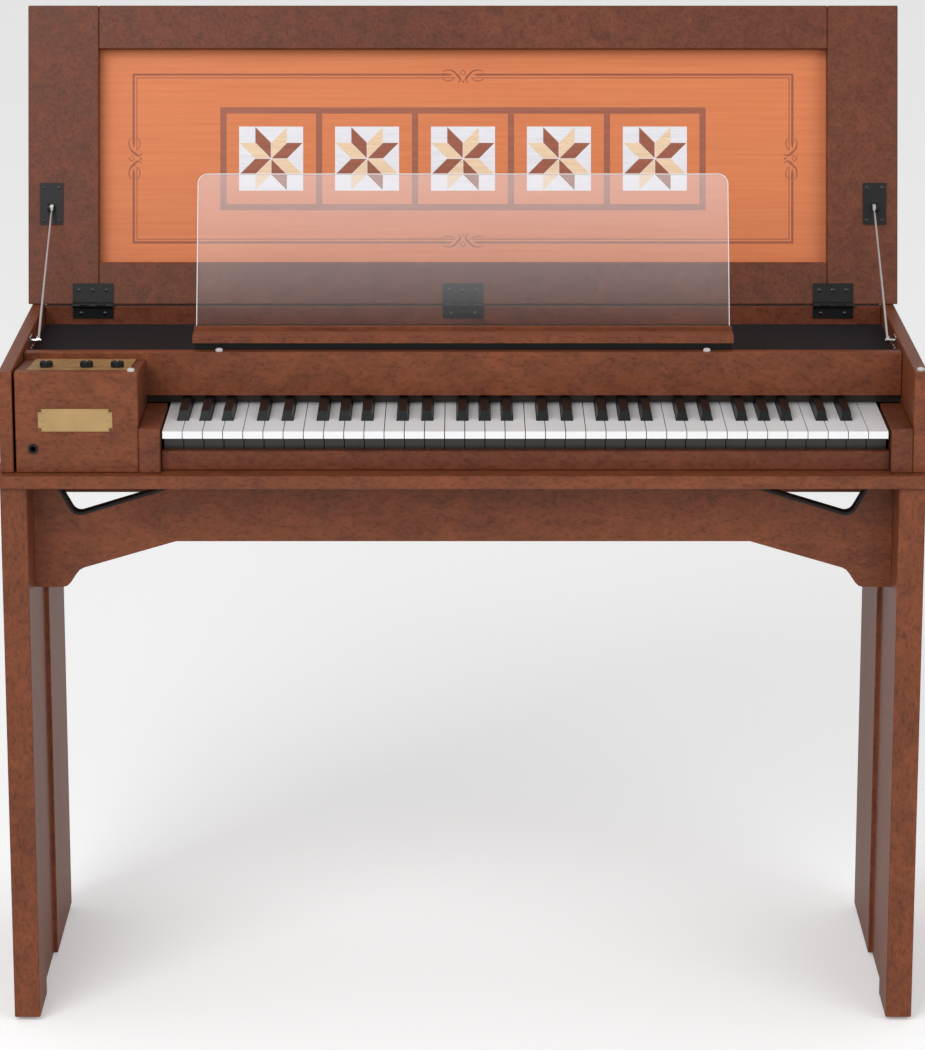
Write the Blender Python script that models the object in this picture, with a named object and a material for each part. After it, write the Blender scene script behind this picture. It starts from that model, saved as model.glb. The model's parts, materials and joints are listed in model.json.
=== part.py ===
"""Digital harpsichord on a board stand, with an inlaid lid, modelled at its real size.

Lengths are metres. X runs to the player's right, Y away from the player and Z up. Sizes are
taken from the front edge of the base board and from the floor, and the empty named footprint
shifts them so that the origin lies under the middle of the whole object.
"""
import math

import bmesh
import bpy
from mathutils import Matrix, Vector

# General
FIT = 0.0003
BOARD = 0.0155
BOARD_EDGE = 0.001
CUT_OVER = 0.002

# Stand
GLIDE_HEIGHT = 0.004
GLIDE_RADIUS = 0.0075
GLIDE_INSET = 0.022
LEG_THICKNESS = 0.031
LEG_FRONT = 0.006
LEG_DEPTH = 0.386
LEG_RECESS_START = 0.076
LEG_RECESS_WIDTH = 0.134
LEG_RECESS_DEPTH = 0.0054
APRON_FRONT = 0.070
APRON_DROP = 0.138
APRON_ARCH_DROP = 0.0816
APRON_SHOULDER_DROP = 0.1142
APRON_ARCH_END = 0.1682
APRON_SHOULDER = 0.0578
APRON_FOOT = 0.0332
NOTCH_DROP = 0.0524
NOTCH_INNER = 0.2182
NOTCH_OUTER = 0.0195
NOTCH_BOTTOM = 0.0486
NOTCH_RADIUS = 0.014
TRIM_THICKNESS = 0.003
TRIM_DEPTH = 0.017
REAR_RAIL_HEIGHT = 0.102
REAR_RAIL_SETBACK = 0.002

# Case
BASE_OVERHANG = 0.0068
BASE_DEPTH = 0.412
BASE_TOP = 0.678
CASE_FRONT = 0.015
CASE_DEPTH = 0.390
CASE_HEIGHT = 0.121
WALL_DROP = 0.002
NAME_BOARD_FRONT = 0.145
NAME_BOARD_BOTTOM = 0.740
NAME_BOARD_TOP = 0.793
DECK_TOP = 0.774
DECK_THICKNESS = 0.004
BATTEN = 0.014
SLIP_FRONT = 0.028
SLIP_DEPTH = 0.012
SLIP_HEIGHT = 0.023
BLOCK_FRONT = 0.014
BLOCK_HEIGHT = 0.053
BLOCK_WIDTH = 0.025

# Control box
BOX_FRONT = 0.017
BOX_WIDTH = 0.143
BOX_CHEEK_GAP = 0.003
BOX_HEIGHT = 0.120
BOX_TOP_DROP = 0.0016
BOX_SLOPE = math.radians(6.1)
BED_THICKNESS = 0.008
BED_END_GAP = 0.0015
PLATE_THICKNESS = 0.0015
PLATE_WIDTH = 0.119
PLATE_LENGTH = 0.103
PLATE_FROM_CHEEK = 0.016
KNOB_RADIUS = 0.0075
KNOB_HEIGHT = 0.007
KNOB_SHAFT_RADIUS = 0.003
KNOB_HOLE_CLEARANCE = 0.0005
KNOB_PLACES = (0.037, 0.084, 0.120)
KNOB_SETBACK = 0.022
POT_RADIUS = 0.008
POT_HEIGHT = 0.009
POT_BOARD_THICKNESS = 0.0016
POT_BOARD_DEPTH = 0.018
NAMEPLATE_WIDTH = 0.0865
NAMEPLATE_HEIGHT = 0.027
NAMEPLATE_THICKNESS = 0.0012
NAMEPLATE_NOTCH = 0.004
NAMEPLATE_FROM_LEFT = 0.0268
NAMEPLATE_BOTTOM = 0.050
JACK_FROM_LEFT = 0.0203
JACK_HEIGHT = 0.029
JACK_FLANGE_RADIUS = 0.006
JACK_FLANGE = 0.0015
JACK_BARREL_RADIUS = 0.0046
JACK_BORE_RADIUS = 0.0034
JACK_LENGTH = 0.027
JACK_BORE_DEPTH = 0.022

# Keyboard
NATURAL_COUNT = 36
NATURAL_ORDER = ("f", "g", "a", "b", "c", "d", "e")
SHARP_OFFSETS = {"c": -0.0027, "d": 0.0029, "f": -0.0028, "g": 0.0, "a": 0.0028}
KEY_PITCH = 0.0235
KEY_GAP = 0.001
KEY_SIDE_GAP = 0.0023
KEY_END_GAP = 0.0031
KEY_FRONT = 0.017
KEY_HEAD = 0.052
KEY_TOP = 0.7277
KEY_UNDERSIDE = 0.697
KEY_LIP_HEIGHT = 0.0086
KEY_LIP_REACH = 0.025
KEY_AXIS_SETBACK = 0.208
KEY_TAIL = 0.001
SPINE_FRONT = 0.003
SPINE_BACK = 0.012
SPINE_HEIGHT = 0.010
SPINE_TOOTH = 0.006
SPINE_TOOTH_WIDTH = 0.006
SPINE_INSET = 0.001
KEY_DIP = math.radians(2.2)
SHARP_WIDTH = 0.013
SHARP_TOP_WIDTH = 0.010
SHARP_RISE = 0.0105
SHARP_NOSE = 0.006
SHARP_CAP_LENGTH = 0.088
SHARP_CLEARANCE = 0.0008
SHARP_FRONT_GAP = 0.0018
FRAME_SHEET = 0.002
FRAME_RIDGE_TOP = 0.008
FRAME_RIDGE_FOOT = 0.018
PAD_WIDTH = 0.014
PAD_SETBACK = 0.029
STOP_RAIL_SETBACK = 0.003
STOP_RAIL_WIDTH = 0.012
FRAME_STEP = 0.0005

# Inner pieces
CIRCUIT_BOARD = (0.250, 0.120, 0.0016)
CIRCUIT_BOARD_CENTRE = (-0.060, 0.315)
STANDOFF_HEIGHT = 0.006
STANDOFF_RADIUS = 0.003
CHIP_HEIGHT = 0.004
POWER_SUPPLY = (0.150, 0.110, 0.038)
POWER_SUPPLY_CENTRE = (0.255, 0.310)
SPEAKER_RADIUS = 0.052
SPEAKER_SPACING = 0.330
SPEAKER_FROM_WALL = 0.098
SPEAKER_PANEL_DEPTH = 0.040
SPEAKER_PANEL_THICKNESS = 0.005

# Lid
LID_OPEN_ANGLE = math.radians(103.0)
LID_OVERHANG = 0.0045
LID_LENGTH = 0.375
LID_THICKNESS = 0.028
LID_SET = 0.0038
LID_AXIS_RISE = 0.0002
LID_CASE_GAP = 0.0005
STILE_WIDTH = 0.088
RAIL_WIDTH = 0.054
PANEL_THICKNESS = 0.006
PANEL_REBATE = 0.008
HINGE_WIDTH = 0.0505
HINGE_END = 0.0765
HINGE_LEAF = 0.0015
HINGE_LID_REACH = 0.0275
HINGE_CASE_REACH = 0.0172
HINGE_BARREL_RADIUS = 0.0035
HINGE_KNUCKLES = 5
HINGE_KNUCKLE_GAP = 0.0004
HINGE_PIN_RADIUS = 0.0015
HINGE_LEAF_START = 0.0041
HINGE_ROLL = math.radians(295.0)
HINGE_ROLL_STEPS = 8
HINGE_PIN_GRIP = 0.0026
HINGE_NAMES = ("left", "middle", "right")

# Stays
STAY_INSET = 0.0105
STAY_PIVOT_UP = 0.1218
STAY_PIVOT_OUT = 0.008
STAY_PLATE = (0.0286, 0.052, 0.002)
STAY_PLATE_UP = 0.101
STAY_PLATE_SHIFT = 0.0014
STAY_ROD_RADIUS = 0.0015
STAY_EYE_RADIUS = 0.005
STAY_EYE_BORE = 0.0022
STAY_EYE_WIDTH = 0.004
STAY_HOOK_SPAN = (75.0, 299.0)
STAY_PEG_RADIUS = 0.0015
STAY_PEG_REACH = 0.003
KNUCKLE_SIDE_GAP = 0.0004
STAY_PEG_Y = 0.218
STAY_PEG_Z = 0.792
STAY_LUG_WIDTH = 0.003
STAY_BRACKET_WIDTH = 0.024
STAY_BRACKET_DROP = 0.014

# Music rest
REST_BASE_HALF = 0.321
REST_BASE_FRONT = 0.162
REST_BASE_DEPTH = 0.028
REST_BASE_HEIGHT = 0.0275
LEDGE_END_LAP = 0.002
LEDGE_FRONT = 0.155
LEDGE_DEPTH = 0.049
LEDGE_THICKNESS = 0.009
LEDGE_STRIP = 0.0037
LEDGE_STRIP_FRONT = 0.033
LEDGE_STRIP_DEPTH = 0.0075
REST_HEIGHT = 0.1965
REST_THICKNESS = 0.003
REST_LEAN = math.radians(22.0)
REST_GROOVE_DEPTH = 0.006
REST_CORNER = 0.012

# Places that follow from the sizes above
KEYBOARD_WIDTH = NATURAL_COUNT * KEY_PITCH
KEY_SPACE = KEY_SIDE_GAP + KEYBOARD_WIDTH + KEY_END_GAP
CHEEK_INNER = (BOX_CHEEK_GAP + BOX_WIDTH + KEY_SPACE) / 2.0 + BLOCK_WIDTH + FIT
CASE_HALF_WIDTH = CHEEK_INNER + BOARD
BASE_HALF_WIDTH = CASE_HALF_WIDTH + BASE_OVERHANG
LID_WIDTH = 2.0 * (CASE_HALF_WIDTH + LID_OVERHANG)
HINGE_PLACES = (HINGE_END - CASE_HALF_WIDTH, 0.0, CASE_HALF_WIDTH - HINGE_END)
STAY_X = CHEEK_INNER - STAY_INSET
LEDGE_HALF = REST_BASE_HALF + LEDGE_END_LAP
LID_LEAN = LID_OPEN_ANGLE - math.radians(90.0)
BASE_BOTTOM = BASE_TOP - BOARD
LEG_TOP = BASE_BOTTOM - FIT
LEG_INNER = CASE_HALF_WIDTH - LEG_THICKNESS
STAND_INNER = LEG_INNER - FIT
APRON_ARCH_HALF = STAND_INNER - APRON_ARCH_END
CASE_INNER = CHEEK_INNER - FIT
CASE_FLOOR = BASE_TOP + FIT
CASE_TOP = BASE_TOP + CASE_HEIGHT
CASE_BACK = CASE_FRONT + CASE_DEPTH
WALL_FRONT = CASE_BACK - BOARD
WALL_TOP = CASE_TOP - WALL_DROP
NAME_BOARD_BACK = NAME_BOARD_FRONT + BOARD
DECK_UNDERSIDE = DECK_TOP - DECK_THICKNESS
AXIS_Y = WALL_FRONT - LID_SET
AXIS_Z = CASE_TOP + LID_AXIS_RISE
BOX_LEFT = -CHEEK_INNER + BOX_CHEEK_GAP
BOX_RIGHT = BOX_LEFT + BOX_WIDTH
BOX_BACK = BOX_FRONT + BOARD
BOX_TOP = BASE_TOP + BOX_HEIGHT
KEY_BLOCK_LEFT = BOX_RIGHT + FIT
KEYS_LEFT = KEY_BLOCK_LEFT + BLOCK_WIDTH + KEY_SIDE_GAP
KEYS_RIGHT = KEYS_LEFT + KEYBOARD_WIDTH
KEY_BLOCK_RIGHT = CASE_INNER - BLOCK_WIDTH
KEY_AXIS_Y = KEY_FRONT + KEY_AXIS_SETBACK
KEY_BACK = KEY_AXIS_Y + SPINE_BACK
REST_BASE_BOTTOM = DECK_TOP + FIT
LEDGE_BOTTOM = REST_BASE_BOTTOM + REST_BASE_HEIGHT + FIT
LEDGE_TOP = LEDGE_BOTTOM + LEDGE_THICKNESS
TOTAL_DEPTH = (AXIS_Y + (LID_SET + LID_THICKNESS) * math.cos(LID_LEAN)
               + (LID_LENGTH - BOARD_EDGE) * math.sin(LID_LEAN))


def clear_scene():
    """Remove every object of the open scene."""
    for old in list(bpy.data.objects):
        bpy.data.objects.remove(old, do_unlink=True)


def finish(name, colour, roughness, metallic=0.0, alpha=1.0):
    """Return the named Principled material, made on first use."""
    material = bpy.data.materials.get(name)
    if material is None:
        material = bpy.data.materials.new(name)
        material.use_nodes = True
        shader = material.node_tree.nodes["Principled BSDF"]
        shader.inputs["Base Color"].default_value = (*colour, 1.0)
        shader.inputs["Roughness"].default_value = roughness
        shader.inputs["Metallic"].default_value = metallic
        shader.inputs["Alpha"].default_value = alpha
    return material


def burl():
    """Red-brown burl veneer of the case and the stand."""
    return finish("burl_veneer", (0.30, 0.075, 0.031), 0.42)


def black_metal():
    """Black lacquered steel of hinges, plates and trims."""
    return finish("black_metal", (0.010, 0.010, 0.011), 0.4, 0.6)


def black_plastic():
    """Black moulded plastic."""
    return finish("black_plastic", (0.012, 0.012, 0.013), 0.45)


def empty(name, parent, location=(0.0, 0.0, 0.0), lean=0.0):
    """Return an empty at location, turned about X by lean."""
    marker = bpy.data.objects.new(name, None)
    bpy.context.scene.collection.objects.link(marker)
    marker.parent = parent
    marker.location = location
    marker.rotation_euler = (lean, 0.0, 0.0)
    return marker


def place(name, mesh_data, material, parent, location=(0.0, 0.0, 0.0)):
    """Turn a bmesh into a named object with outward faces."""
    bmesh.ops.recalc_face_normals(mesh_data, faces=mesh_data.faces)
    mesh = bpy.data.meshes.new(name)
    mesh_data.to_mesh(mesh)
    mesh_data.free()
    if material is not None:
        mesh.materials.append(material)
    thing = bpy.data.objects.new(name, mesh)
    bpy.context.scene.collection.objects.link(thing)
    thing.parent = parent
    thing.location = location
    return thing


def soften(thing, width=BOARD_EDGE):
    """Take the sharp arris off a board."""
    bevel = thing.modifiers.new("soft_edges", "BEVEL")
    bevel.width = width
    bevel.segments = 1
    bevel.limit_method = "ANGLE"
    bevel.angle_limit = math.radians(40.0)


def combine(thing, tool, operation):
    """Add a Boolean with a hidden tool object."""
    tool.hide_render = True
    tool.display_type = "WIRE"
    step = thing.modifiers.new(tool.name, "BOOLEAN")
    step.operation = operation
    step.solver = "EXACT"
    step.object = tool


def smooth(thing):
    """Shade the round faces smooth and keep the edges crisp."""
    thing.data.shade_smooth()
    thing.data.set_sharp_from_angle(angle=math.radians(35.0))


def prism(mesh_data, outline, plane, low, high):
    """Extrude a closed outline drawn in XY, XZ or YZ along the third axis."""
    def corner(point, along):
        first, second = point
        if plane == "XY":
            return (first, second, along)
        if plane == "XZ":
            return (first, along, second)
        return (along, first, second)

    near = [mesh_data.verts.new(corner(point, low)) for point in outline]
    far = [mesh_data.verts.new(corner(point, high)) for point in outline]
    mesh_data.faces.new(near)
    mesh_data.faces.new(far)
    for index in range(len(outline)):
        after = (index + 1) % len(outline)
        mesh_data.faces.new((near[index], near[after], far[after], far[index]))


def block(mesh_data, low, high):
    """Add a box between two corners."""
    outline = [(low[0], low[1]), (high[0], low[1]), (high[0], high[1]), (low[0], high[1])]
    prism(mesh_data, outline, "XY", low[2], high[2])


def turned(mesh_data, profile, sides, matrix, hollow=False):
    """Turn a profile of (radius, height) points about Z, then move it by matrix."""
    rings = []
    for radius, height in profile:
        ring = []
        for step in range(sides):
            angle = 2.0 * math.pi * step / sides
            spot = Vector((radius * math.cos(angle), radius * math.sin(angle), height))
            ring.append(mesh_data.verts.new(matrix @ spot))
        rings.append(ring)
    pairs = list(zip(rings, rings[1:]))
    if hollow:
        pairs.append((rings[-1], rings[0]))
    for lower, upper in pairs:
        for step in range(sides):
            after = (step + 1) % sides
            mesh_data.faces.new((lower[step], lower[after], upper[after], upper[step]))
    if not hollow:
        mesh_data.faces.new(rings[0])
        mesh_data.faces.new(rings[-1])


def along_x(x, y, z):
    """Return the matrix that lays a turned piece along X from the given point."""
    return Matrix.Translation((x, y, z)) @ Matrix.Rotation(math.radians(90.0), 4, "Y")


def upright(x, y, z):
    """Return the matrix that stands a turned piece on the given point."""
    return Matrix.Translation((x, y, z))


def board(name, low, high, parent, material=None):
    """Add one softened board between two corners."""
    mesh_data = bmesh.new()
    block(mesh_data, low, high)
    thing = place(name, mesh_data, material or burl(), parent)
    soften(thing)
    return thing


def arc(centre, radius, start, end, steps):
    """Return points on an arc from start to end, in degrees."""
    points = []
    for step in range(steps + 1):
        angle = math.radians(start + (end - start) * step / steps)
        points.append((centre[0] + radius * math.cos(angle), centre[1] + radius * math.sin(angle)))
    return points


def bezier(first, second, third, fourth, steps):
    """Return points on a cubic curve, both ends included."""
    points = []
    for step in range(steps + 1):
        t = step / steps
        weights = ((1 - t) ** 3, 3 * t * (1 - t) ** 2, 3 * t * t * (1 - t), t ** 3)
        corners = (first, second, third, fourth)
        points.append(tuple(sum(w * c[axis] for w, c in zip(weights, corners)) for axis in (0, 1)))
    return points


def rounded_corner(before, corner, after, radius, steps):
    """Return the arc that rounds a corner between two straight runs."""
    corner = Vector(corner)
    back = (Vector(before) - corner).normalized()
    ahead = (Vector(after) - corner).normalized()
    half = back.angle(ahead) / 2.0
    middle = corner + (back + ahead).normalized() * (radius / math.sin(half))
    start = corner + back * (radius / math.tan(half)) - middle
    end = corner + ahead * (radius / math.tan(half)) - middle
    first = math.atan2(start.y, start.x)
    turn = (math.atan2(end.y, end.x) - first + math.pi) % (2.0 * math.pi) - math.pi
    return arc(middle, start.length, math.degrees(first), math.degrees(first + turn), steps)


def mirrored(points):
    """Return the outline reflected in X, in the opposite order."""
    return [(-x, z) for x, z in reversed(points)]


def into_y(x, y, z):
    """Return the matrix that points a turned piece away from the player."""
    return Matrix.Translation((x, y, z)) @ Matrix.Rotation(math.radians(-90.0), 4, "X")


def notch_path():
    """Return the right notch's edge, from its inner to its outer end."""
    inner = (STAND_INNER - NOTCH_INNER, LEG_TOP)
    bottom = (STAND_INNER - NOTCH_BOTTOM, LEG_TOP - NOTCH_DROP)
    outer = (STAND_INNER - NOTCH_OUTER, LEG_TOP)
    return [inner] + rounded_corner(inner, bottom, outer, NOTCH_RADIUS, 5) + [outer]


def offset_path(points, distance):
    """Move a path to its left and run its ends up to the top of the stand."""
    moved = []
    last = len(points) - 1
    for index, point in enumerate(points):
        here = Vector(point)
        outgoing = (Vector(points[min(index + 1, last)]) - here).normalized()
        incoming = (here - Vector(points[max(index - 1, 0)])).normalized()
        if index == 0:
            incoming = outgoing
        if index == last:
            outgoing = incoming
        side = Vector((-incoming.y, incoming.x))
        normal = (side + Vector((-outgoing.y, outgoing.x))).normalized()
        moved.append(here + normal * (distance / normal.dot(side)))
    for end, inner in ((0, 1), (-1, -2)):
        run = moved[end] - moved[inner]
        moved[end] = moved[inner] + run * ((LEG_TOP - moved[inner].y) / run.y)
    return [tuple(point) for point in moved]


def apron_half():
    """Return the right half of the apron's outline, from the arch round to the notch."""
    arch = (APRON_ARCH_HALF, LEG_TOP - APRON_ARCH_DROP)
    shoulder = (STAND_INNER - APRON_SHOULDER, LEG_TOP - APRON_SHOULDER_DROP)
    foot = (STAND_INNER - APRON_FOOT, LEG_TOP - APRON_DROP)
    slope = (Vector(shoulder) - Vector(arch)).normalized()
    reach = (foot[0] - shoulder[0]) * 0.45
    first = tuple(Vector(shoulder) + slope * reach)
    second = (foot[0] - reach, foot[1])
    points = [arch] + bezier(shoulder, first, second, foot, 6)
    points += [(STAND_INNER, foot[1]), (STAND_INNER, LEG_TOP)]
    return points + list(reversed(notch_path()))


def build_stand(root):
    """Legs, apron, notch edging, rear rail and floor glides."""
    recess_start = LEG_FRONT + LEG_RECESS_START
    recess_end = recess_start + LEG_RECESS_WIDTH
    recess_x = LEG_INNER + LEG_RECESS_DEPTH
    leg_back = LEG_FRONT + LEG_DEPTH
    plan = [(LEG_INNER, LEG_FRONT), (CASE_HALF_WIDTH, LEG_FRONT), (CASE_HALF_WIDTH, leg_back),
            (LEG_INNER, leg_back), (LEG_INNER, recess_end), (recess_x, recess_end),
            (recess_x, recess_start), (LEG_INNER, recess_start)]
    glide = [(GLIDE_RADIUS * 0.85, 0.0), (GLIDE_RADIUS, 0.001), (GLIDE_RADIUS, GLIDE_HEIGHT * 2.0)]
    middle = CASE_HALF_WIDTH - LEG_THICKNESS / 2.0
    for name, outline, x in (("leg_left", mirrored(plan), -middle), ("leg_right", plan, middle)):
        mesh_data = bmesh.new()
        prism(mesh_data, outline, "XY", GLIDE_HEIGHT, LEG_TOP)
        leg = place(name, mesh_data, burl(), root)
        soften(leg)
        mesh_data = bmesh.new()
        for y in (LEG_FRONT + GLIDE_INSET, leg_back - GLIDE_INSET):
            turned(mesh_data, glide, 12, upright(x, y, 0.0))
        combine(leg, place(name + "_glides", mesh_data, None, root), "UNION")

    half = apron_half()
    mesh_data = bmesh.new()
    prism(mesh_data, half + mirrored(half), "XZ", APRON_FRONT, APRON_FRONT + BOARD)
    place("apron", mesh_data, burl(), root)

    path = notch_path()
    band = offset_path(path, FIT) + list(reversed(offset_path(path, FIT + TRIM_THICKNESS)))
    trim_front = APRON_FRONT - (TRIM_DEPTH - BOARD) / 2.0
    for name, outline in (("notch_trim_left", mirrored(band)), ("notch_trim_right", band)):
        mesh_data = bmesh.new()
        prism(mesh_data, outline, "XZ", trim_front, trim_front + TRIM_DEPTH)
        place(name, mesh_data, black_plastic(), root)

    rail_back = leg_back - REAR_RAIL_SETBACK
    board("rear_rail", (-STAND_INNER, rail_back - BOARD, LEG_TOP - REAR_RAIL_HEIGHT),
          (STAND_INNER, rail_back, LEG_TOP), root)


def build_case(root):
    """Boards of the case, and the deck on the frame that also stops the keys."""
    board("base_board", (-BASE_HALF_WIDTH, 0.0, BASE_BOTTOM),
          (BASE_HALF_WIDTH, BASE_DEPTH, BASE_TOP), root)
    board("cheek_left", (-CASE_HALF_WIDTH, CASE_FRONT, CASE_FLOOR),
          (-CHEEK_INNER, CASE_BACK, CASE_TOP), root)
    board("cheek_right", (CHEEK_INNER, CASE_FRONT, CASE_FLOOR),
          (CASE_HALF_WIDTH, CASE_BACK, CASE_TOP), root)
    board("back_wall", (-CASE_INNER, WALL_FRONT, CASE_FLOOR), (CASE_INNER, CASE_BACK, WALL_TOP), root)
    board("name_board", (-CASE_INNER, NAME_BOARD_FRONT, NAME_BOARD_BOTTOM),
          (CASE_INNER, NAME_BOARD_BACK, NAME_BOARD_TOP), root)

    deck_back = WALL_FRONT - FIT
    mesh_data = bmesh.new()
    block(mesh_data, (-CASE_INNER, NAME_BOARD_BACK + FIT, DECK_UNDERSIDE),
          (CASE_INNER, deck_back, DECK_TOP))
    place("deck", mesh_data, finish("deck_cloth", (0.042, 0.034, 0.037), 0.9), root)

    batten_top = DECK_UNDERSIDE - FIT
    stop_front = NAME_BOARD_BACK + STOP_RAIL_SETBACK
    stop_back = stop_front + STOP_RAIL_WIDTH
    mesh_data = bmesh.new()
    block(mesh_data, (-CASE_INNER, stop_front, KEY_TOP + FIT),
          (CASE_INNER, stop_back, batten_top - FRAME_STEP))
    frame = place("deck_frame", mesh_data, finish("pine", (0.52, 0.36, 0.20), 0.6), root)
    outer = CASE_INNER - FRAME_STEP
    arm = outer - BATTEN
    front = stop_front + STOP_RAIL_WIDTH / 4.0
    inner_back = deck_back - BATTEN
    outline = [(-outer, front), (-arm, front), (-arm, inner_back), (arm, inner_back),
               (arm, front), (outer, front), (outer, deck_back), (-outer, deck_back)]
    mesh_data = bmesh.new()
    prism(mesh_data, outline, "XY", batten_top - BATTEN, batten_top)
    combine(frame, place("deck_battens", mesh_data, None, root), "UNION")

    slip_left = KEY_BLOCK_LEFT + BLOCK_WIDTH + FIT
    board("key_slip", (slip_left, SLIP_FRONT, CASE_FLOOR),
          (KEY_BLOCK_RIGHT - FIT, SLIP_FRONT + SLIP_DEPTH, CASE_FLOOR + SLIP_HEIGHT), root)
    for name, left in (("key_block_left", KEY_BLOCK_LEFT), ("key_block_right", KEY_BLOCK_RIGHT)):
        board(name, (left, BLOCK_FRONT, CASE_FLOOR),
              (left + BLOCK_WIDTH, NAME_BOARD_FRONT - FIT, CASE_FLOOR + BLOCK_HEIGHT), root)


def build_control_box(root):
    """Box at the bass end with its sloping bed, plate, knobs, nameplate and headphone jack."""
    front = board("control_front", (BOX_LEFT, BOX_FRONT, CASE_FLOOR), (BOX_RIGHT, BOX_BACK, BOX_TOP), root)
    jack_x = BOX_LEFT + JACK_FROM_LEFT
    jack_z = BASE_TOP + JACK_HEIGHT
    mesh_data = bmesh.new()
    drill = [(JACK_BARREL_RADIUS + FIT, -CUT_OVER), (JACK_BARREL_RADIUS + FIT, BOARD + CUT_OVER)]
    turned(mesh_data, drill, 12, into_y(jack_x, BOX_FRONT, jack_z))
    combine(front, place("jack_drill", mesh_data, None, root), "DIFFERENCE")

    flange_back = JACK_FLANGE
    socket = [(JACK_BORE_RADIUS, JACK_BORE_DEPTH), (JACK_BORE_RADIUS, 0.0), (JACK_FLANGE_RADIUS, 0.0),
              (JACK_FLANGE_RADIUS, flange_back), (JACK_BARREL_RADIUS, flange_back),
              (JACK_BARREL_RADIUS, JACK_LENGTH)]
    mesh_data = bmesh.new()
    turned(mesh_data, socket, 12, into_y(jack_x, BOX_FRONT - FIT - JACK_FLANGE, jack_z))
    smooth(place("headphone_jack", mesh_data, black_plastic(), root))

    left = BOX_LEFT + NAMEPLATE_FROM_LEFT
    right = left + NAMEPLATE_WIDTH
    low = BASE_TOP + NAMEPLATE_BOTTOM
    high = low + NAMEPLATE_HEIGHT
    nick = NAMEPLATE_NOTCH
    outline = [(left + nick, low), (right - nick, low), (right - nick, low + nick), (right, low + nick),
               (right, high - nick), (right - nick, high - nick), (right - nick, high), (left + nick, high),
               (left + nick, high - nick), (left, high - nick), (left, low + nick), (left + nick, low + nick)]
    mesh_data = bmesh.new()
    prism(mesh_data, outline, "XZ", BOX_FRONT - FIT - NAMEPLATE_THICKNESS, BOX_FRONT - FIT)
    place("nameplate", mesh_data, finish("brass", (0.62, 0.42, 0.16), 0.35, 1.0), root)

    side_front = BOX_BACK + FIT
    side_back = NAME_BOARD_FRONT - FIT
    slope_top = BOX_TOP - BOX_TOP_DROP
    fall = math.tan(BOX_SLOPE)
    outline = [(side_front, CASE_FLOOR), (side_back, CASE_FLOOR),
               (side_back, slope_top - (side_back - BOX_BACK) * fall),
               (side_front, slope_top - (side_front - BOX_BACK) * fall)]
    mesh_data = bmesh.new()
    prism(mesh_data, outline, "YZ", BOX_RIGHT - BOARD, BOX_RIGHT)
    place("control_side", mesh_data, burl(), root)

    slope = empty("control_slope", root, (0.0, BOX_BACK, slope_top), -BOX_SLOPE)
    bed_right = BOX_RIGHT - BOARD - FIT
    bed_length = (NAME_BOARD_FRONT - BOX_BACK) / math.cos(BOX_SLOPE) - BED_END_GAP
    mesh_data = bmesh.new()
    block(mesh_data, (BOX_LEFT, BED_END_GAP, -BED_THICKNESS), (bed_right, bed_length, 0.0))
    bed = place("control_bed", mesh_data, burl(), slope)
    plate_left = -CHEEK_INNER + PLATE_FROM_CHEEK
    plate_top = FIT + PLATE_THICKNESS
    mesh_data = bmesh.new()
    block(mesh_data, (plate_left, BED_END_GAP, FIT),
          (plate_left + PLATE_WIDTH, BED_END_GAP + PLATE_LENGTH, plate_top))
    plate = place("control_plate", mesh_data, finish("plate_wood", (0.34, 0.20, 0.075), 0.45), slope)

    holes = bmesh.new()
    pots = bmesh.new()
    hole_radius = KNOB_SHAFT_RADIUS + KNOB_HOLE_CLEARANCE
    pot_top = -BED_THICKNESS - FIT
    pot = [(POT_RADIUS, pot_top - POT_HEIGHT), (POT_RADIUS, pot_top), (hole_radius, pot_top),
           (hole_radius, pot_top - POT_HEIGHT * 0.8)]
    knob_seat = plate_top + FIT
    shaft = BED_THICKNESS + knob_seat + POT_HEIGHT * 0.6
    knob = [(KNOB_SHAFT_RADIUS, -shaft), (KNOB_SHAFT_RADIUS, 0.0), (KNOB_RADIUS, 0.0),
            (KNOB_RADIUS, KNOB_HEIGHT * 0.8), (KNOB_RADIUS * 0.9, KNOB_HEIGHT)]
    names = ("knob_left", "knob_middle", "knob_right")
    for name, from_cheek in zip(names, KNOB_PLACES):
        spot = (-CHEEK_INNER + from_cheek, KNOB_SETBACK, 0.0)
        turned(holes, [(hole_radius, -BED_THICKNESS - CUT_OVER), (hole_radius, plate_top + CUT_OVER)],
               12, upright(*spot))
        turned(pots, pot, 12, upright(*spot))
        mesh_data = bmesh.new()
        turned(mesh_data, knob, 16, Matrix.Identity(4))
        smooth(place(name, mesh_data, black_plastic(), slope, (spot[0], spot[1], knob_seat)))
    cutter = place("shaft_holes", holes, None, slope)
    combine(bed, cutter, "DIFFERENCE")
    combine(plate, cutter, "DIFFERENCE")
    board_top = pot_top - POT_HEIGHT + POT_BOARD_THICKNESS / 2.0
    reach = POT_BOARD_DEPTH / 2.0
    mesh_data = bmesh.new()
    block(mesh_data, (plate_left + POT_RADIUS, KNOB_SETBACK - reach, board_top - POT_BOARD_THICKNESS),
          (bed_right - FIT, KNOB_SETBACK + reach, board_top))
    pot_board = place("control_board", mesh_data, finish("circuit_board", (0.02, 0.16, 0.06), 0.5), slope)
    combine(pot_board, place("pots", pots, None, slope), "UNION")


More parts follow.
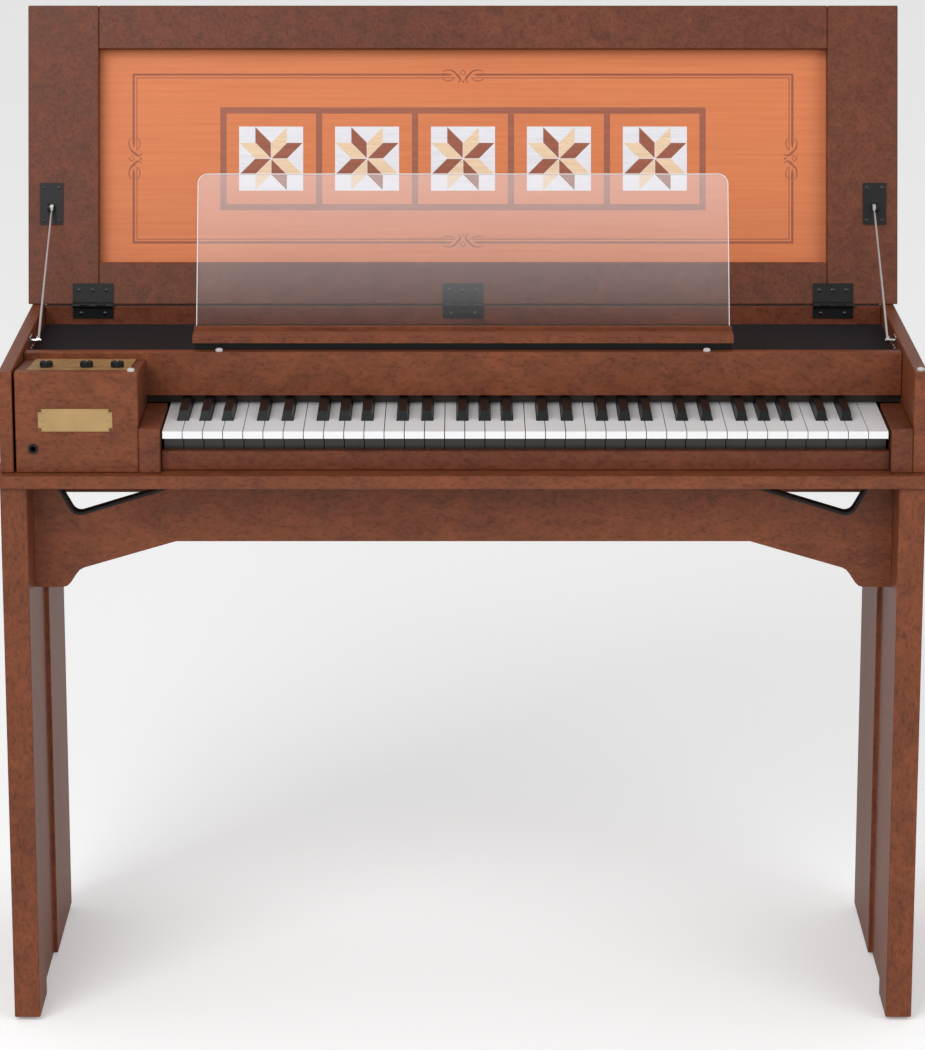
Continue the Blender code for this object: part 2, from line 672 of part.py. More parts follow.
def natural_key(mesh_data, left, right, cut_left, cut_right):
    """Add one natural, its overhanging lip at the front and its tail cut for the sharps."""
    front = -KEY_AXIS_SETBACK
    lever = front + KEY_LIP_REACH
    head = front + KEY_HEAD
    top = KEY_TOP - KEY_UNDERSIDE
    lip = top - KEY_LIP_HEIGHT
    plan = [(left, lever), (right, lever)]
    plan += [(right, head), (right - cut_right, head)] if cut_right else []
    plan += [(right - cut_right, KEY_TAIL), (left + cut_left, KEY_TAIL)]
    plan += [(left + cut_left, head), (left, head)] if cut_left else []
    rings = [[mesh_data.verts.new((x, y, z)) for x, y in plan] for z in (0.0, lip, top)]
    mesh_data.faces.new(rings[0])
    mesh_data.faces.new(rings[2])
    for level in (0, 1):
        for index in range(len(plan)):
            if level == 1 and index == 0:
                continue
            after = (index + 1) % len(plan)
            mesh_data.faces.new((rings[level][index], rings[level][after],
                                 rings[level + 1][after], rings[level + 1][index]))
    low_left, low_right = rings[1][0], rings[1][1]
    high_left, high_right = rings[2][0], rings[2][1]
    nose = [mesh_data.verts.new(spot) for spot in
            ((left, front, lip), (right, front, lip), (right, front, top), (left, front, top))]
    mesh_data.faces.new(nose)
    mesh_data.faces.new((nose[0], nose[1], low_right, low_left))
    mesh_data.faces.new((nose[3], nose[2], high_right, high_left))
    mesh_data.faces.new((nose[0], nose[3], high_left, low_left))
    mesh_data.faces.new((nose[1], nose[2], high_right, low_right))


def sharp_key(mesh_data, middle):
    """Add one sharp: a lever as tall as the naturals, with a tapered cap on its front part."""
    wide = SHARP_WIDTH / 2.0
    slim = SHARP_TOP_WIDTH / 2.0
    front = -KEY_AXIS_SETBACK + KEY_HEAD + SHARP_FRONT_GAP
    back = front + SHARP_CAP_LENGTH
    rise = KEY_TOP - KEY_UNDERSIDE
    crown = rise + SHARP_RISE
    spots = [(-wide, front, 0.0), (wide, front, 0.0), (wide, KEY_TAIL, 0.0), (-wide, KEY_TAIL, 0.0),
             (-wide, front, rise), (wide, front, rise), (wide, back, rise), (wide, KEY_TAIL, rise),
             (-wide, KEY_TAIL, rise), (-wide, back, rise),
             (-slim, front + SHARP_NOSE, crown), (slim, front + SHARP_NOSE, crown),
             (slim, back, crown), (-slim, back, crown)]
    corners = [mesh_data.verts.new((middle + x, y, z)) for x, y, z in spots]
    faces = ((0, 1, 2, 3), (0, 1, 5, 4), (1, 2, 7, 6, 5), (2, 3, 8, 7), (3, 0, 4, 9, 8),
             (6, 7, 8, 9), (4, 5, 11, 10), (5, 6, 12, 11), (6, 9, 13, 12), (9, 4, 10, 13),
             (10, 11, 12, 13))
    for face in faces:
        mesh_data.faces.new([corners[index] for index in face])


def key_spine(left, right, teeth, low):
    """Return the moulded spine that carries a group of keys, one tooth inside each tail."""
    half = SPINE_TOOTH_WIDTH / 2.0
    outline = [(left, SPINE_BACK), (left, SPINE_FRONT)]
    for middle in teeth:
        outline += [(middle - half, SPINE_FRONT), (middle - half, SPINE_FRONT - SPINE_TOOTH),
                    (middle + half, SPINE_FRONT - SPINE_TOOTH), (middle + half, SPINE_FRONT)]
    outline += [(right, SPINE_FRONT), (right, SPINE_BACK)]
    mesh_data = bmesh.new()
    prism(mesh_data, outline, "XY", low, low + SPINE_HEIGHT)
    return mesh_data


def key_group(name, keys, teeth, low, material, root):
    """Join the keys of one group to their spine and set their origin on the balance axis."""
    spot = (0.0, KEY_AXIS_Y, KEY_UNDERSIDE)
    group = place(name, keys, material, root, spot)
    left = teeth[0] - SPINE_TOOTH_WIDTH
    right = teeth[-1] + SPINE_TOOTH_WIDTH
    spine = place(name + "_spine", key_spine(left, right, teeth, low), None, root, spot)
    combine(group, spine, "UNION")


def build_keyboard(root):
    """Naturals and sharps of each octave on their spines, over the frame they balance on."""
    octave = len(NATURAL_ORDER)
    groups = (NATURAL_COUNT - 1) // octave
    white = finish("key_white", (0.82, 0.82, 0.83), 0.25)
    black = finish("key_black", (0.012, 0.012, 0.013), 0.3)
    reach = SHARP_WIDTH / 2.0 + SHARP_CLEARANCE - KEY_GAP / 2.0
    top = KEY_TOP - KEY_UNDERSIDE
    for group in range(groups):
        naturals = bmesh.new()
        sharps = bmesh.new()
        natural_teeth = []
        sharp_teeth = []
        last = NATURAL_COUNT if group == groups - 1 else (group + 1) * octave
        for index in range(group * octave, last):
            note = NATURAL_ORDER[index % octave]
            before = NATURAL_ORDER[(index - 1) % octave]
            left = KEYS_LEFT + index * KEY_PITCH + KEY_GAP / 2.0
            right = left + KEY_PITCH - KEY_GAP
            cut_left = 0.0
            cut_right = 0.0
            if index > 0 and before in SHARP_OFFSETS:
                cut_left = reach + SHARP_OFFSETS[before]
            if index < NATURAL_COUNT - 1 and note in SHARP_OFFSETS:
                cut_right = reach - SHARP_OFFSETS[note]
                middle = right + KEY_GAP / 2.0 + SHARP_OFFSETS[note]
                sharp_key(sharps, middle)
                sharp_teeth.append(middle)
            natural_key(naturals, left, right, cut_left, cut_right)
            natural_teeth.append((left + cut_left + right - cut_right) / 2.0)
        number = str(group + 1)
        key_group("naturals_" + number, naturals, natural_teeth, SPINE_INSET, white, root)
        key_group("sharps_" + number, sharps, sharp_teeth, top - SPINE_INSET - SPINE_HEIGHT, black, root)

    pad_front = KEY_FRONT + PAD_SETBACK
    pad_top = KEY_UNDERSIDE - (KEY_AXIS_Y - pad_front) * math.tan(KEY_DIP) - FIT
    pad_back = pad_front + PAD_WIDTH
    sheet_top = CASE_FLOOR + FRAME_SHEET
    ridge_top = KEY_UNDERSIDE - FIT
    outline = [(pad_front, CASE_FLOOR), (pad_front, pad_top), (pad_back, pad_top), (pad_back, sheet_top),
               (KEY_AXIS_Y - FRAME_RIDGE_FOOT / 2.0, sheet_top),
               (KEY_AXIS_Y - FRAME_RIDGE_TOP / 2.0, ridge_top),
               (KEY_AXIS_Y + FRAME_RIDGE_TOP / 2.0, ridge_top),
               (KEY_AXIS_Y + FRAME_RIDGE_FOOT / 2.0, sheet_top),
               (KEY_BACK, sheet_top), (KEY_BACK, CASE_FLOOR)]
    mesh_data = bmesh.new()
    prism(mesh_data, outline, "YZ", KEYS_LEFT, KEYS_RIGHT)
    place("key_frame", mesh_data, finish("grey_metal", (0.35, 0.35, 0.36), 0.4, 0.8), root)


def build_inner_pieces(root):
    """Main board on its standoffs, power supply, and the speaker panel under the deck."""
    width, depth, thickness = CIRCUIT_BOARD
    x, y = CIRCUIT_BOARD_CENTRE
    board_bottom = CASE_FLOOR + STANDOFF_HEIGHT + FIT
    board_top = board_bottom + thickness
    mesh_data = bmesh.new()
    block(mesh_data, (x - width / 2, y - depth / 2, board_bottom),
          (x + width / 2, y + depth / 2, board_top))
    main_board = place("main_board", mesh_data, finish("circuit_board", (0.02, 0.16, 0.06), 0.5), root)
    sunk = thickness / 2.0
    mesh_data = bmesh.new()
    for side in (-0.42, 0.42):
        for end in (-0.42, 0.42):
            turned(mesh_data, [(STANDOFF_RADIUS, 0.0), (STANDOFF_RADIUS, STANDOFF_HEIGHT + FIT + sunk)], 8,
                   upright(x + side * width, y + end * depth, CASE_FLOOR))
    for side, size in ((-0.25, 0.24), (0.0, 0.16), (0.22, 0.3)):
        left = x + side * width - size * depth / 2
        low = y - size * depth / 2
        block(mesh_data, (left, low, board_top - sunk + FIT),
              (left + size * depth, low + size * depth, board_top + CHIP_HEIGHT))
    combine(main_board, place("main_board_parts", mesh_data, None, root), "UNION")

    width, depth, height = POWER_SUPPLY
    x, y = POWER_SUPPLY_CENTRE
    mesh_data = bmesh.new()
    block(mesh_data, (x - width / 2, y - depth / 2, CASE_FLOOR),
          (x + width / 2, y + depth / 2, CASE_FLOOR + height))
    soften(place("power_supply", mesh_data, finish("grey_metal", (0.35, 0.35, 0.36), 0.4, 0.8), root))

    cone = [(0.030, -0.046), (0.030, -0.028), (0.038, -0.026), (SPEAKER_RADIUS, -0.004),
            (SPEAKER_RADIUS, 0.0)]
    middle = WALL_FRONT - SPEAKER_FROM_WALL
    panel_top = DECK_UNDERSIDE - FIT
    half = SPEAKER_SPACING + SPEAKER_RADIUS / 2.0
    mesh_data = bmesh.new()
    block(mesh_data, (-half, middle - SPEAKER_PANEL_DEPTH / 2.0, panel_top - SPEAKER_PANEL_THICKNESS),
          (half, middle + SPEAKER_PANEL_DEPTH / 2.0, panel_top))
    panel = place("speaker_panel", mesh_data, black_metal(), root)
    mesh_data = bmesh.new()
    for side in (-1.0, 1.0):
        turned(mesh_data, cone, 20, upright(side * SPEAKER_SPACING, middle, panel_top - FRAME_STEP))
    combine(panel, place("speaker_drivers", mesh_data, None, root), "UNION")


def rolled_leaf(mesh_data, middle, reach, direction, tabs):
    """Add a hinge leaf whose tabs roll about the X axis; it points up at direction 1, down at -1."""
    near_y = HINGE_BARREL_RADIUS - HINGE_LEAF
    knuckle = (HINGE_WIDTH - (HINGE_KNUCKLES - 1) * HINGE_KNUCKLE_GAP) / HINGE_KNUCKLES
    left = middle - HINGE_WIDTH / 2.0
    right = left + HINGE_WIDTH
    outline = [] if tabs[0] == 0 else [(left, HINGE_LEAF_START)]
    for tab in tabs:
        start = left + tab * (knuckle + HINGE_KNUCKLE_GAP)
        outline += [] if tab == 0 else [(start, HINGE_LEAF_START)]
        outline += [(start, 0.0), (start + knuckle, 0.0)]
        outline += [] if tab == HINGE_KNUCKLES - 1 else [(start + knuckle, HINGE_LEAF_START)]
    outline += [] if tabs[-1] == HINGE_KNUCKLES - 1 else [(right, HINGE_LEAF_START)]
    outline += [(right, reach), (left, reach)]
    near = [mesh_data.verts.new((x, near_y, direction * z)) for x, z in outline]
    far = [mesh_data.verts.new((x, HINGE_BARREL_RADIUS, direction * z)) for x, z in outline]
    mesh_data.faces.new(near)
    mesh_data.faces.new(far)
    for index in range(len(outline)):
        after = (index + 1) % len(outline)
        ring = [near[index], near[after], far[after], far[index]]
        if outline[index][1] != 0.0 or outline[after][1] != 0.0:
            mesh_data.faces.new(ring)
            continue
        for step in range(1, HINGE_ROLL_STEPS + 1):
            angle = -HINGE_ROLL * step / HINGE_ROLL_STEPS
            rolled = []
            for x, radius in ((outline[index][0], near_y), (outline[after][0], near_y),
                              (outline[after][0], HINGE_BARREL_RADIUS),
                              (outline[index][0], HINGE_BARREL_RADIUS)):
                spot = (x, radius * math.cos(angle), direction * radius * math.sin(angle))
                rolled.append(mesh_data.verts.new(spot))
            for corner in range(4):
                following = (corner + 1) % 4
                mesh_data.faces.new((ring[corner], ring[following], rolled[following], rolled[corner]))
            ring = rolled
        mesh_data.faces.new(ring)


def build_lid(root):
    """Frame and panel lid with its three hinges; returns the empty on the hinge axis."""
    axis = empty("lid_axis", root, (0.0, AXIS_Y, AXIS_Z), -LID_LEAN)
    inner = LID_SET
    outer = LID_SET + LID_THICKNESS
    half = LID_WIDTH / 2.0
    opening = half - STILE_WIDTH
    foot = CASE_TOP + LID_CASE_GAP - AXIS_Z

    def bottom(y):
        return (foot + y * math.sin(LID_LEAN)) / math.cos(LID_LEAN)

    stile = [(inner, bottom(inner)), (outer, bottom(outer)), (outer, LID_LENGTH), (inner, LID_LENGTH)]
    low_rail = [(inner, bottom(inner)), (outer, bottom(outer)), (outer, RAIL_WIDTH), (inner, RAIL_WIDTH)]
    rail_foot = LID_LENGTH - RAIL_WIDTH
    high_rail = [(inner, rail_foot), (outer, rail_foot), (outer, LID_LENGTH), (inner, LID_LENGTH)]
    members = (("lid_stile_left", stile, -half, -opening), ("lid_stile_right", stile, opening, half),
               ("lid_rail_bottom", low_rail, FIT - opening, opening - FIT),
               ("lid_rail_top", high_rail, FIT - opening, opening - FIT))
    rebate_x = opening + PANEL_REBATE
    rebate_low = RAIL_WIDTH - PANEL_REBATE
    rebate_high = rail_foot + PANEL_REBATE
    rebate_front = outer - PANEL_THICKNESS
    mesh_data = bmesh.new()
    block(mesh_data, (-rebate_x, rebate_front - FIT, rebate_low), (rebate_x, outer + CUT_OVER, rebate_high))
    rebate = place("panel_rebate", mesh_data, None, axis)
    for name, outline, left, right in members:
        mesh_data = bmesh.new()
        prism(mesh_data, outline, "YZ", left, right)
        member = place(name, mesh_data, burl(), axis)
        soften(member)
        combine(member, rebate, "DIFFERENCE")
    mesh_data = bmesh.new()
    block(mesh_data, (FIT - rebate_x, rebate_front, rebate_low + FIT),
          (rebate_x - FIT, outer, rebate_high - FIT))
    place("lid_panel", mesh_data, finish("panel_wood", (0.70, 0.22, 0.085), 0.4), axis)

    knuckle = (HINGE_WIDTH - (HINGE_KNUCKLES - 1) * HINGE_KNUCKLE_GAP) / HINGE_KNUCKLES
    pin = []
    for tab in range(HINGE_KNUCKLES):
        start = tab * (knuckle + HINGE_KNUCKLE_GAP) - HINGE_WIDTH / 2.0
        gripped = tab % 2 == 0
        radius = HINGE_PIN_GRIP if gripped else HINGE_PIN_RADIUS
        inset = HINGE_KNUCKLE_GAP if gripped else -2.0 * HINGE_KNUCKLE_GAP
        pin += [(radius, start + inset), (radius, start + knuckle - inset)]
    lid_tabs = tuple(range(1, HINGE_KNUCKLES, 2))
    case_tabs = tuple(range(0, HINGE_KNUCKLES, 2))
    for side, middle in zip(HINGE_NAMES, HINGE_PLACES):
        mesh_data = bmesh.new()
        rolled_leaf(mesh_data, 0.0, HINGE_LID_REACH, 1.0, lid_tabs)
        smooth(place("hinge_lid_" + side, mesh_data, black_metal(), axis, (middle, 0.0, 0.0)))
        spot = (middle, AXIS_Y, AXIS_Z)
        mesh_data = bmesh.new()
        rolled_leaf(mesh_data, 0.0, HINGE_CASE_REACH, -1.0, case_tabs)
        leaf = place("hinge_case_" + side, mesh_data, black_metal(), root, spot)
        mesh_data = bmesh.new()
        turned(mesh_data, pin, 10, along_x(0.0, 0.0, 0.0))
        combine(leaf, place("hinge_pin_" + side, mesh_data, None, root, spot), "UNION")
    return axis


def build_stays(root, axis):
    """Plates on the lid, brackets on the cheeks, and the hooked rods between them."""
    pivot_y = LID_SET - STAY_PIVOT_OUT
    pivot_z = STAY_PIVOT_UP
    plate_width, plate_height, plate_thickness = STAY_PLATE
    plate_back = LID_SET - FIT
    lug_near = STAY_EYE_WIDTH / 2.0 + KNUCKLE_SIDE_GAP
    lug_foot = plate_back - plate_thickness / 2.0
    lug_shape = [(lug_foot, pivot_z - STAY_EYE_RADIUS)]
    lug_shape += arc((pivot_y, pivot_z), STAY_EYE_RADIUS, 270.0, 90.0, 6)
    lug_shape += [(lug_foot, pivot_z + STAY_EYE_RADIUS)]
    face = CHEEK_INNER - FIT
    bracket_half = STAY_BRACKET_WIDTH / 2.0
    nickel = finish("nickel", (0.62, 0.61, 0.60), 0.3, 1.0)
    for word, side in (("left", -1.0), ("right", 1.0)):
        middle = side * (STAY_X + STAY_PLATE_SHIFT)
        mesh_data = bmesh.new()
        block(mesh_data, (middle - plate_width / 2.0, plate_back - plate_thickness, STAY_PLATE_UP),
              (middle + plate_width / 2.0, plate_back, STAY_PLATE_UP + plate_height))
        plate = place("stay_plate_" + word, mesh_data, black_metal(), axis)
        ends = sorted((side * (STAY_X + lug_near), side * (STAY_X + lug_near + STAY_LUG_WIDTH)))
        mesh_data = bmesh.new()
        prism(mesh_data, lug_shape, "YZ", *ends)
        combine(plate, place("stay_lug_" + word, mesh_data, None, axis), "UNION")
        ends = sorted((side * (STAY_X - STAY_PEG_REACH), side * (STAY_X + lug_near + STAY_LUG_WIDTH / 2.0)))
        mesh_data = bmesh.new()
        turned(mesh_data, [(STAY_PEG_RADIUS, ends[0]), (STAY_PEG_RADIUS, ends[1])], 8,
               along_x(0.0, pivot_y, pivot_z))
        combine(plate, place("stay_pivot_" + word, mesh_data, None, axis), "UNION")

        ends = sorted((side * face, side * (face - plate_thickness)))
        mesh_data = bmesh.new()
        block(mesh_data, (ends[0], STAY_PEG_Y - bracket_half, STAY_PEG_Z - STAY_BRACKET_DROP),
              (ends[1], STAY_PEG_Y + bracket_half, STAY_PEG_Z + STAY_EYE_RADIUS))
        bracket = place("stay_bracket_" + word, mesh_data, nickel, root)
        ends = sorted((side * (STAY_X - STAY_PEG_REACH), side * (face - plate_thickness / 2.0)))
        mesh_data = bmesh.new()
        turned(mesh_data, [(STAY_PEG_RADIUS, ends[0]), (STAY_PEG_RADIUS, ends[1])], 8,
               along_x(0.0, STAY_PEG_Y, STAY_PEG_Z))
        combine(bracket, place("stay_peg_" + word, mesh_data, None, root), "UNION")

    lean_cos = math.cos(LID_LEAN)
    lean_sin = math.sin(LID_LEAN)
    pivot = Vector((AXIS_Y + pivot_y * lean_cos + pivot_z * lean_sin,
                    AXIS_Z - pivot_y * lean_sin + pivot_z * lean_cos))
    run = Vector((STAY_PEG_Y, STAY_PEG_Z)) - pivot
    length = run.length
    tilt = math.atan2(run.x, -run.y)
    eye = [(STAY_EYE_BORE, -STAY_EYE_WIDTH / 2.0), (STAY_EYE_RADIUS, -STAY_EYE_WIDTH / 2.0),
           (STAY_EYE_RADIUS, STAY_EYE_WIDTH / 2.0), (STAY_EYE_BORE, STAY_EYE_WIDTH / 2.0)]
    hook_centre = (0.0, -length)
    hook = arc(hook_centre, STAY_EYE_RADIUS, *STAY_HOOK_SPAN, 9)
    hook += list(reversed(arc(hook_centre, STAY_EYE_BORE, *STAY_HOOK_SPAN, 9)))
    bite = (STAY_EYE_RADIUS + STAY_EYE_BORE) / 2.0
    for name, side in (("stay_rod_left", -1.0), ("stay_rod_right", 1.0)):
        hinge = empty(name + "_axis", root, (side * STAY_X, pivot.x, pivot.y), tilt)
        mesh_data = bmesh.new()
        turned(mesh_data, [(STAY_ROD_RADIUS, bite - length), (STAY_ROD_RADIUS, -bite)], 10,
               Matrix.Identity(4))
        rod = place(name, mesh_data, nickel, hinge)
        ends = bmesh.new()
        turned(ends, eye, 14, along_x(0.0, 0.0, 0.0), hollow=True)
        prism(ends, hook, "YZ", -STAY_EYE_WIDTH / 2.0, STAY_EYE_WIDTH / 2.0)
        combine(rod, place(name + "_ends", ends, None, hinge), "UNION")


def build_music_rest(root):
    """Black base on the deck, wooden ledge with a strip and a groove, and the clear plate."""
    mesh_data = bmesh.new()
    base_top = REST_BASE_BOTTOM + REST_BASE_HEIGHT
    block(mesh_data, (-REST_BASE_HALF, REST_BASE_FRONT, REST_BASE_BOTTOM),
          (REST_BASE_HALF, REST_BASE_FRONT + REST_BASE_DEPTH, base_top))
    place("rest_base", mesh_data, finish("black_lacquer", (0.010, 0.010, 0.010), 0.5), root)

    strip_front = LEDGE_FRONT + LEDGE_STRIP_FRONT
    strip_back = strip_front + LEDGE_STRIP_DEPTH
    ledge_back = LEDGE_FRONT + LEDGE_DEPTH
    strip_top = LEDGE_TOP + LEDGE_STRIP
    outline = [(LEDGE_FRONT, LEDGE_BOTTOM), (ledge_back, LEDGE_BOTTOM), (ledge_back, LEDGE_TOP),
               (strip_back, LEDGE_TOP), (strip_back, strip_top), (strip_front, strip_top),
               (strip_front, LEDGE_TOP), (LEDGE_FRONT, LEDGE_TOP)]
    mesh_data = bmesh.new()
    prism(mesh_data, outline, "YZ", -LEDGE_HALF, LEDGE_HALF)
    ledge = place("rest_ledge", mesh_data, burl(), root)

    plate_y = strip_back + CUT_OVER / 2.0 - REST_GROOVE_DEPTH * math.tan(REST_LEAN)
    tilt = empty("rest_tilt", root, (0.0, plate_y, LEDGE_TOP - REST_GROOVE_DEPTH), -REST_LEAN)
    half = REST_BASE_HALF
    mesh_data = bmesh.new()
    block(mesh_data, (-half - FIT, -FIT, -FIT), (half + FIT, REST_THICKNESS + FIT, REST_HEIGHT / 4.0))
    combine(ledge, place("rest_groove", mesh_data, None, tilt), "DIFFERENCE")
    corner = (half - REST_CORNER, REST_HEIGHT - REST_CORNER)
    outline = [(half, 0.0)] + arc(corner, REST_CORNER, 0.0, 90.0, 5)
    mesh_data = bmesh.new()
    prism(mesh_data, outline + mirrored(outline), "XZ", 0.0, REST_THICKNESS)
    place("rest_plate", mesh_data, finish("clear_acrylic", (0.95, 0.96, 0.97), 0.1, 0.0, 0.25), tilt)


def main():
    """Build the whole instrument around the middle of its footprint."""
    clear_scene()
    footprint = empty("footprint", None, (0.0, -TOTAL_DEPTH / 2.0, 0.0))
    build_stand(footprint)
    build_case(footprint)
    build_control_box(footprint)
    build_keyboard(footprint)
    build_inner_pieces(footprint)
    axis = build_lid(footprint)
    build_stays(footprint, axis)
    build_music_rest(footprint)


main()
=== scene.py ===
"""Looks of a compact digital harpsichord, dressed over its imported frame.

Lengths are metres in the frame's axes: X to the player's right, Y away from the player, Z up.
Each sub-assembly is a class, each finish a frozen dataclass, and main() builds them in order.
"""

import json
import logging
import math
from dataclasses import dataclass
from enum import Enum

import bmesh
import bpy
from mathutils import Matrix, Vector

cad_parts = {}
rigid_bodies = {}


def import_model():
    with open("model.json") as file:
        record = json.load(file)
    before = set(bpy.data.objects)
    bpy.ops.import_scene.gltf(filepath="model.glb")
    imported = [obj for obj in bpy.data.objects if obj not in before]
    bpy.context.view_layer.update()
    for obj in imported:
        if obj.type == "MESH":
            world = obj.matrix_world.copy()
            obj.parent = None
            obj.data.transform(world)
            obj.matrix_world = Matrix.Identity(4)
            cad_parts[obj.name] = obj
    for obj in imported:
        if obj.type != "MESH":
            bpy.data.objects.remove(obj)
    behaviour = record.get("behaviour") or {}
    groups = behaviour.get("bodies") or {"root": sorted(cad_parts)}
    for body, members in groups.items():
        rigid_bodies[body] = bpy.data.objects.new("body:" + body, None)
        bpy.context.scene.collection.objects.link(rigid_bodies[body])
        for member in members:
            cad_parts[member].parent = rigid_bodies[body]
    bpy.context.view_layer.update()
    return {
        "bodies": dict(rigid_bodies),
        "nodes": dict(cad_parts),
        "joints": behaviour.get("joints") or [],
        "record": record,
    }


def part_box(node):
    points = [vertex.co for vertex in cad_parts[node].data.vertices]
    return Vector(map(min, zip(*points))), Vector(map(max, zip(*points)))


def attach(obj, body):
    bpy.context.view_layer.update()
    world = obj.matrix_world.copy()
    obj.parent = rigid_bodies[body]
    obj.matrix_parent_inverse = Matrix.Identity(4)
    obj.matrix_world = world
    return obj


LOG = logging.getLogger("harpsichord")
Colour = tuple[float, float, float]
Point = tuple[float, float]
Stops = tuple[tuple[float, Colour], ...]

# The base board's front edge, the lid's hinge axis and lean, and the panel in the lid's own frame.
FRONT_EDGE = -0.2504085
HINGE_Y = 0.1352915
HINGE_Z = 0.7992
LID_LEAN = math.radians(13.0)
PANEL_FACE = 0.0258
PANEL_THICKNESS = 0.006


class Side(Enum):
    """The two ends of the instrument, as signs of X."""

    LEFT = -1.0
    RIGHT = 1.0


class Grain(Enum):
    """Direction in which a board's figure is drawn out, as scales of X, Y and Z."""

    ALONG_X = (0.55, 1.0, 1.0)
    ALONG_Y = (1.0, 0.55, 1.0)
    ALONG_Z = (1.0, 1.0, 0.55)


class Recipe:
    """Node tree of one material, built a node at a time."""

    def __init__(self, name: str) -> None:
        """Start a Principled material.

        Args:
            name: The material's name.
        """
        self.material = bpy.data.materials.new(name)
        self.material.use_nodes = True
        self.tree = self.material.node_tree
        self.shader = self.tree.nodes["Principled BSDF"]
        self.spot = self.add("ShaderNodeTexCoord").outputs["Object"]

    def add(self, kind: str, **values: object) -> bpy.types.Node:
        """Add a node and set its inputs or properties by name.

        Args:
            kind: Blender's node type.
            **values: Input values or node properties, spaces written as underscores.

        Returns:
            The new node.
        """
        node = self.tree.nodes.new(kind)
        for key, value in values.items():
            label = key.replace("_", " ")
            if label in node.inputs:
                node.inputs[label].default_value = value
            else:
                setattr(node, key, value)
        return node

    def link(self, source: bpy.types.NodeSocket, target: bpy.types.NodeSocket) -> None:
        """Join two sockets."""
        self.tree.links.new(source, target)

    def mapped(self, scale: tuple[float, float, float],
               shift: tuple[float, float, float] = (0.0, 0.0, 0.0)) -> bpy.types.NodeSocket:
        """Return the object's own coordinates, moved and then scaled.

        Args:
            scale: Scale along each axis.
            shift: Move along each axis.

        Returns:
            The vector socket.
        """
        node = self.add("ShaderNodeMapping", Scale=scale, Location=shift)
        self.link(self.spot, node.inputs["Vector"])
        return node.outputs["Vector"]

    def noise(self, vector: bpy.types.NodeSocket, scale: float, detail: float = 4.0,
              roughness: float = 0.55, distortion: float = 0.0) -> bpy.types.NodeSocket:
        """Return a noise value between 0 and 1 over the given vector.

        Args:
            vector: Where the noise is read.
            scale: Cells a metre.
            detail: Octaves.
            roughness: Weight of the fine octaves.
            distortion: How far the cells are stirred.

        Returns:
            The value socket.
        """
        node = self.add("ShaderNodeTexNoise", Scale=scale, Detail=detail, Roughness=roughness,
                        Distortion=distortion)
        self.link(vector, node.inputs["Vector"])
        return node.outputs["Fac"]

    def ramp(self, factor: bpy.types.NodeSocket, stops: Stops) -> bpy.types.NodeSocket:
        """Return a colour that follows a value through the given stops.

        Args:
            factor: The value.
            stops: Pairs of position and colour, in rising order.

        Returns:
            The colour socket.
        """
        node = self.add("ShaderNodeValToRGB")
        points = node.color_ramp.elements
        while len(points) < len(stops):
            points.new(0.5)
        for point, (position, colour) in zip(points, stops):
            point.position = position
            point.color = (*colour, 1.0)
        self.link(factor, node.inputs["Fac"])
        return node.outputs["Color"]

    def mix(self, factor: bpy.types.NodeSocket | float, first: bpy.types.NodeSocket | Colour,
            second: bpy.types.NodeSocket | Colour, blend: str = "MIX") -> bpy.types.NodeSocket:
        """Return the mix of two colours.

        Args:
            factor: Share of the second colour.
            first: First colour or socket.
            second: Second colour or socket.
            blend: Blender's name for the mixing rule.

        Returns:
            The colour socket.
        """
        node = self.tree.nodes.new("ShaderNodeMix")
        node.data_type = "RGBA"
        node.blend_type = blend
        for value, socket in ((factor, node.inputs[0]), (first, node.inputs[6]), (second, node.inputs[7])):
            if isinstance(value, bpy.types.NodeSocket):
                self.link(value, socket)
            else:
                socket.default_value = (*value, 1.0) if isinstance(value, tuple) else value
        return node.outputs[2]

    def colour(self, source: bpy.types.NodeSocket) -> None:
        """Send a colour to the shader."""
        self.link(source, self.shader.inputs["Base Color"])

    def gloss(self, factor: bpy.types.NodeSocket, low: float, high: float) -> None:
        """Let a value between 0 and 1 drive the roughness between two limits.

        Args:
            factor: The value.
            low: Roughness at 0.
            high: Roughness at 1.
        """
        node = self.add("ShaderNodeMapRange")
        node.inputs["To Min"].default_value = low
        node.inputs["To Max"].default_value = high
        self.link(factor, node.inputs["Value"])
        self.link(node.outputs["Result"], self.shader.inputs["Roughness"])

    def bump(self, height: bpy.types.NodeSocket, strength: float, distance: float) -> None:
        """Raise the surface by a value.

        Args:
            height: The value.
            strength: Share of the effect.
            distance: Height of a value of 1, in metres.
        """
        node = self.add("ShaderNodeBump", Strength=strength, Distance=distance)
        self.link(height, node.inputs["Height"])
        self.link(node.outputs["Normal"], self.shader.inputs["Normal"])


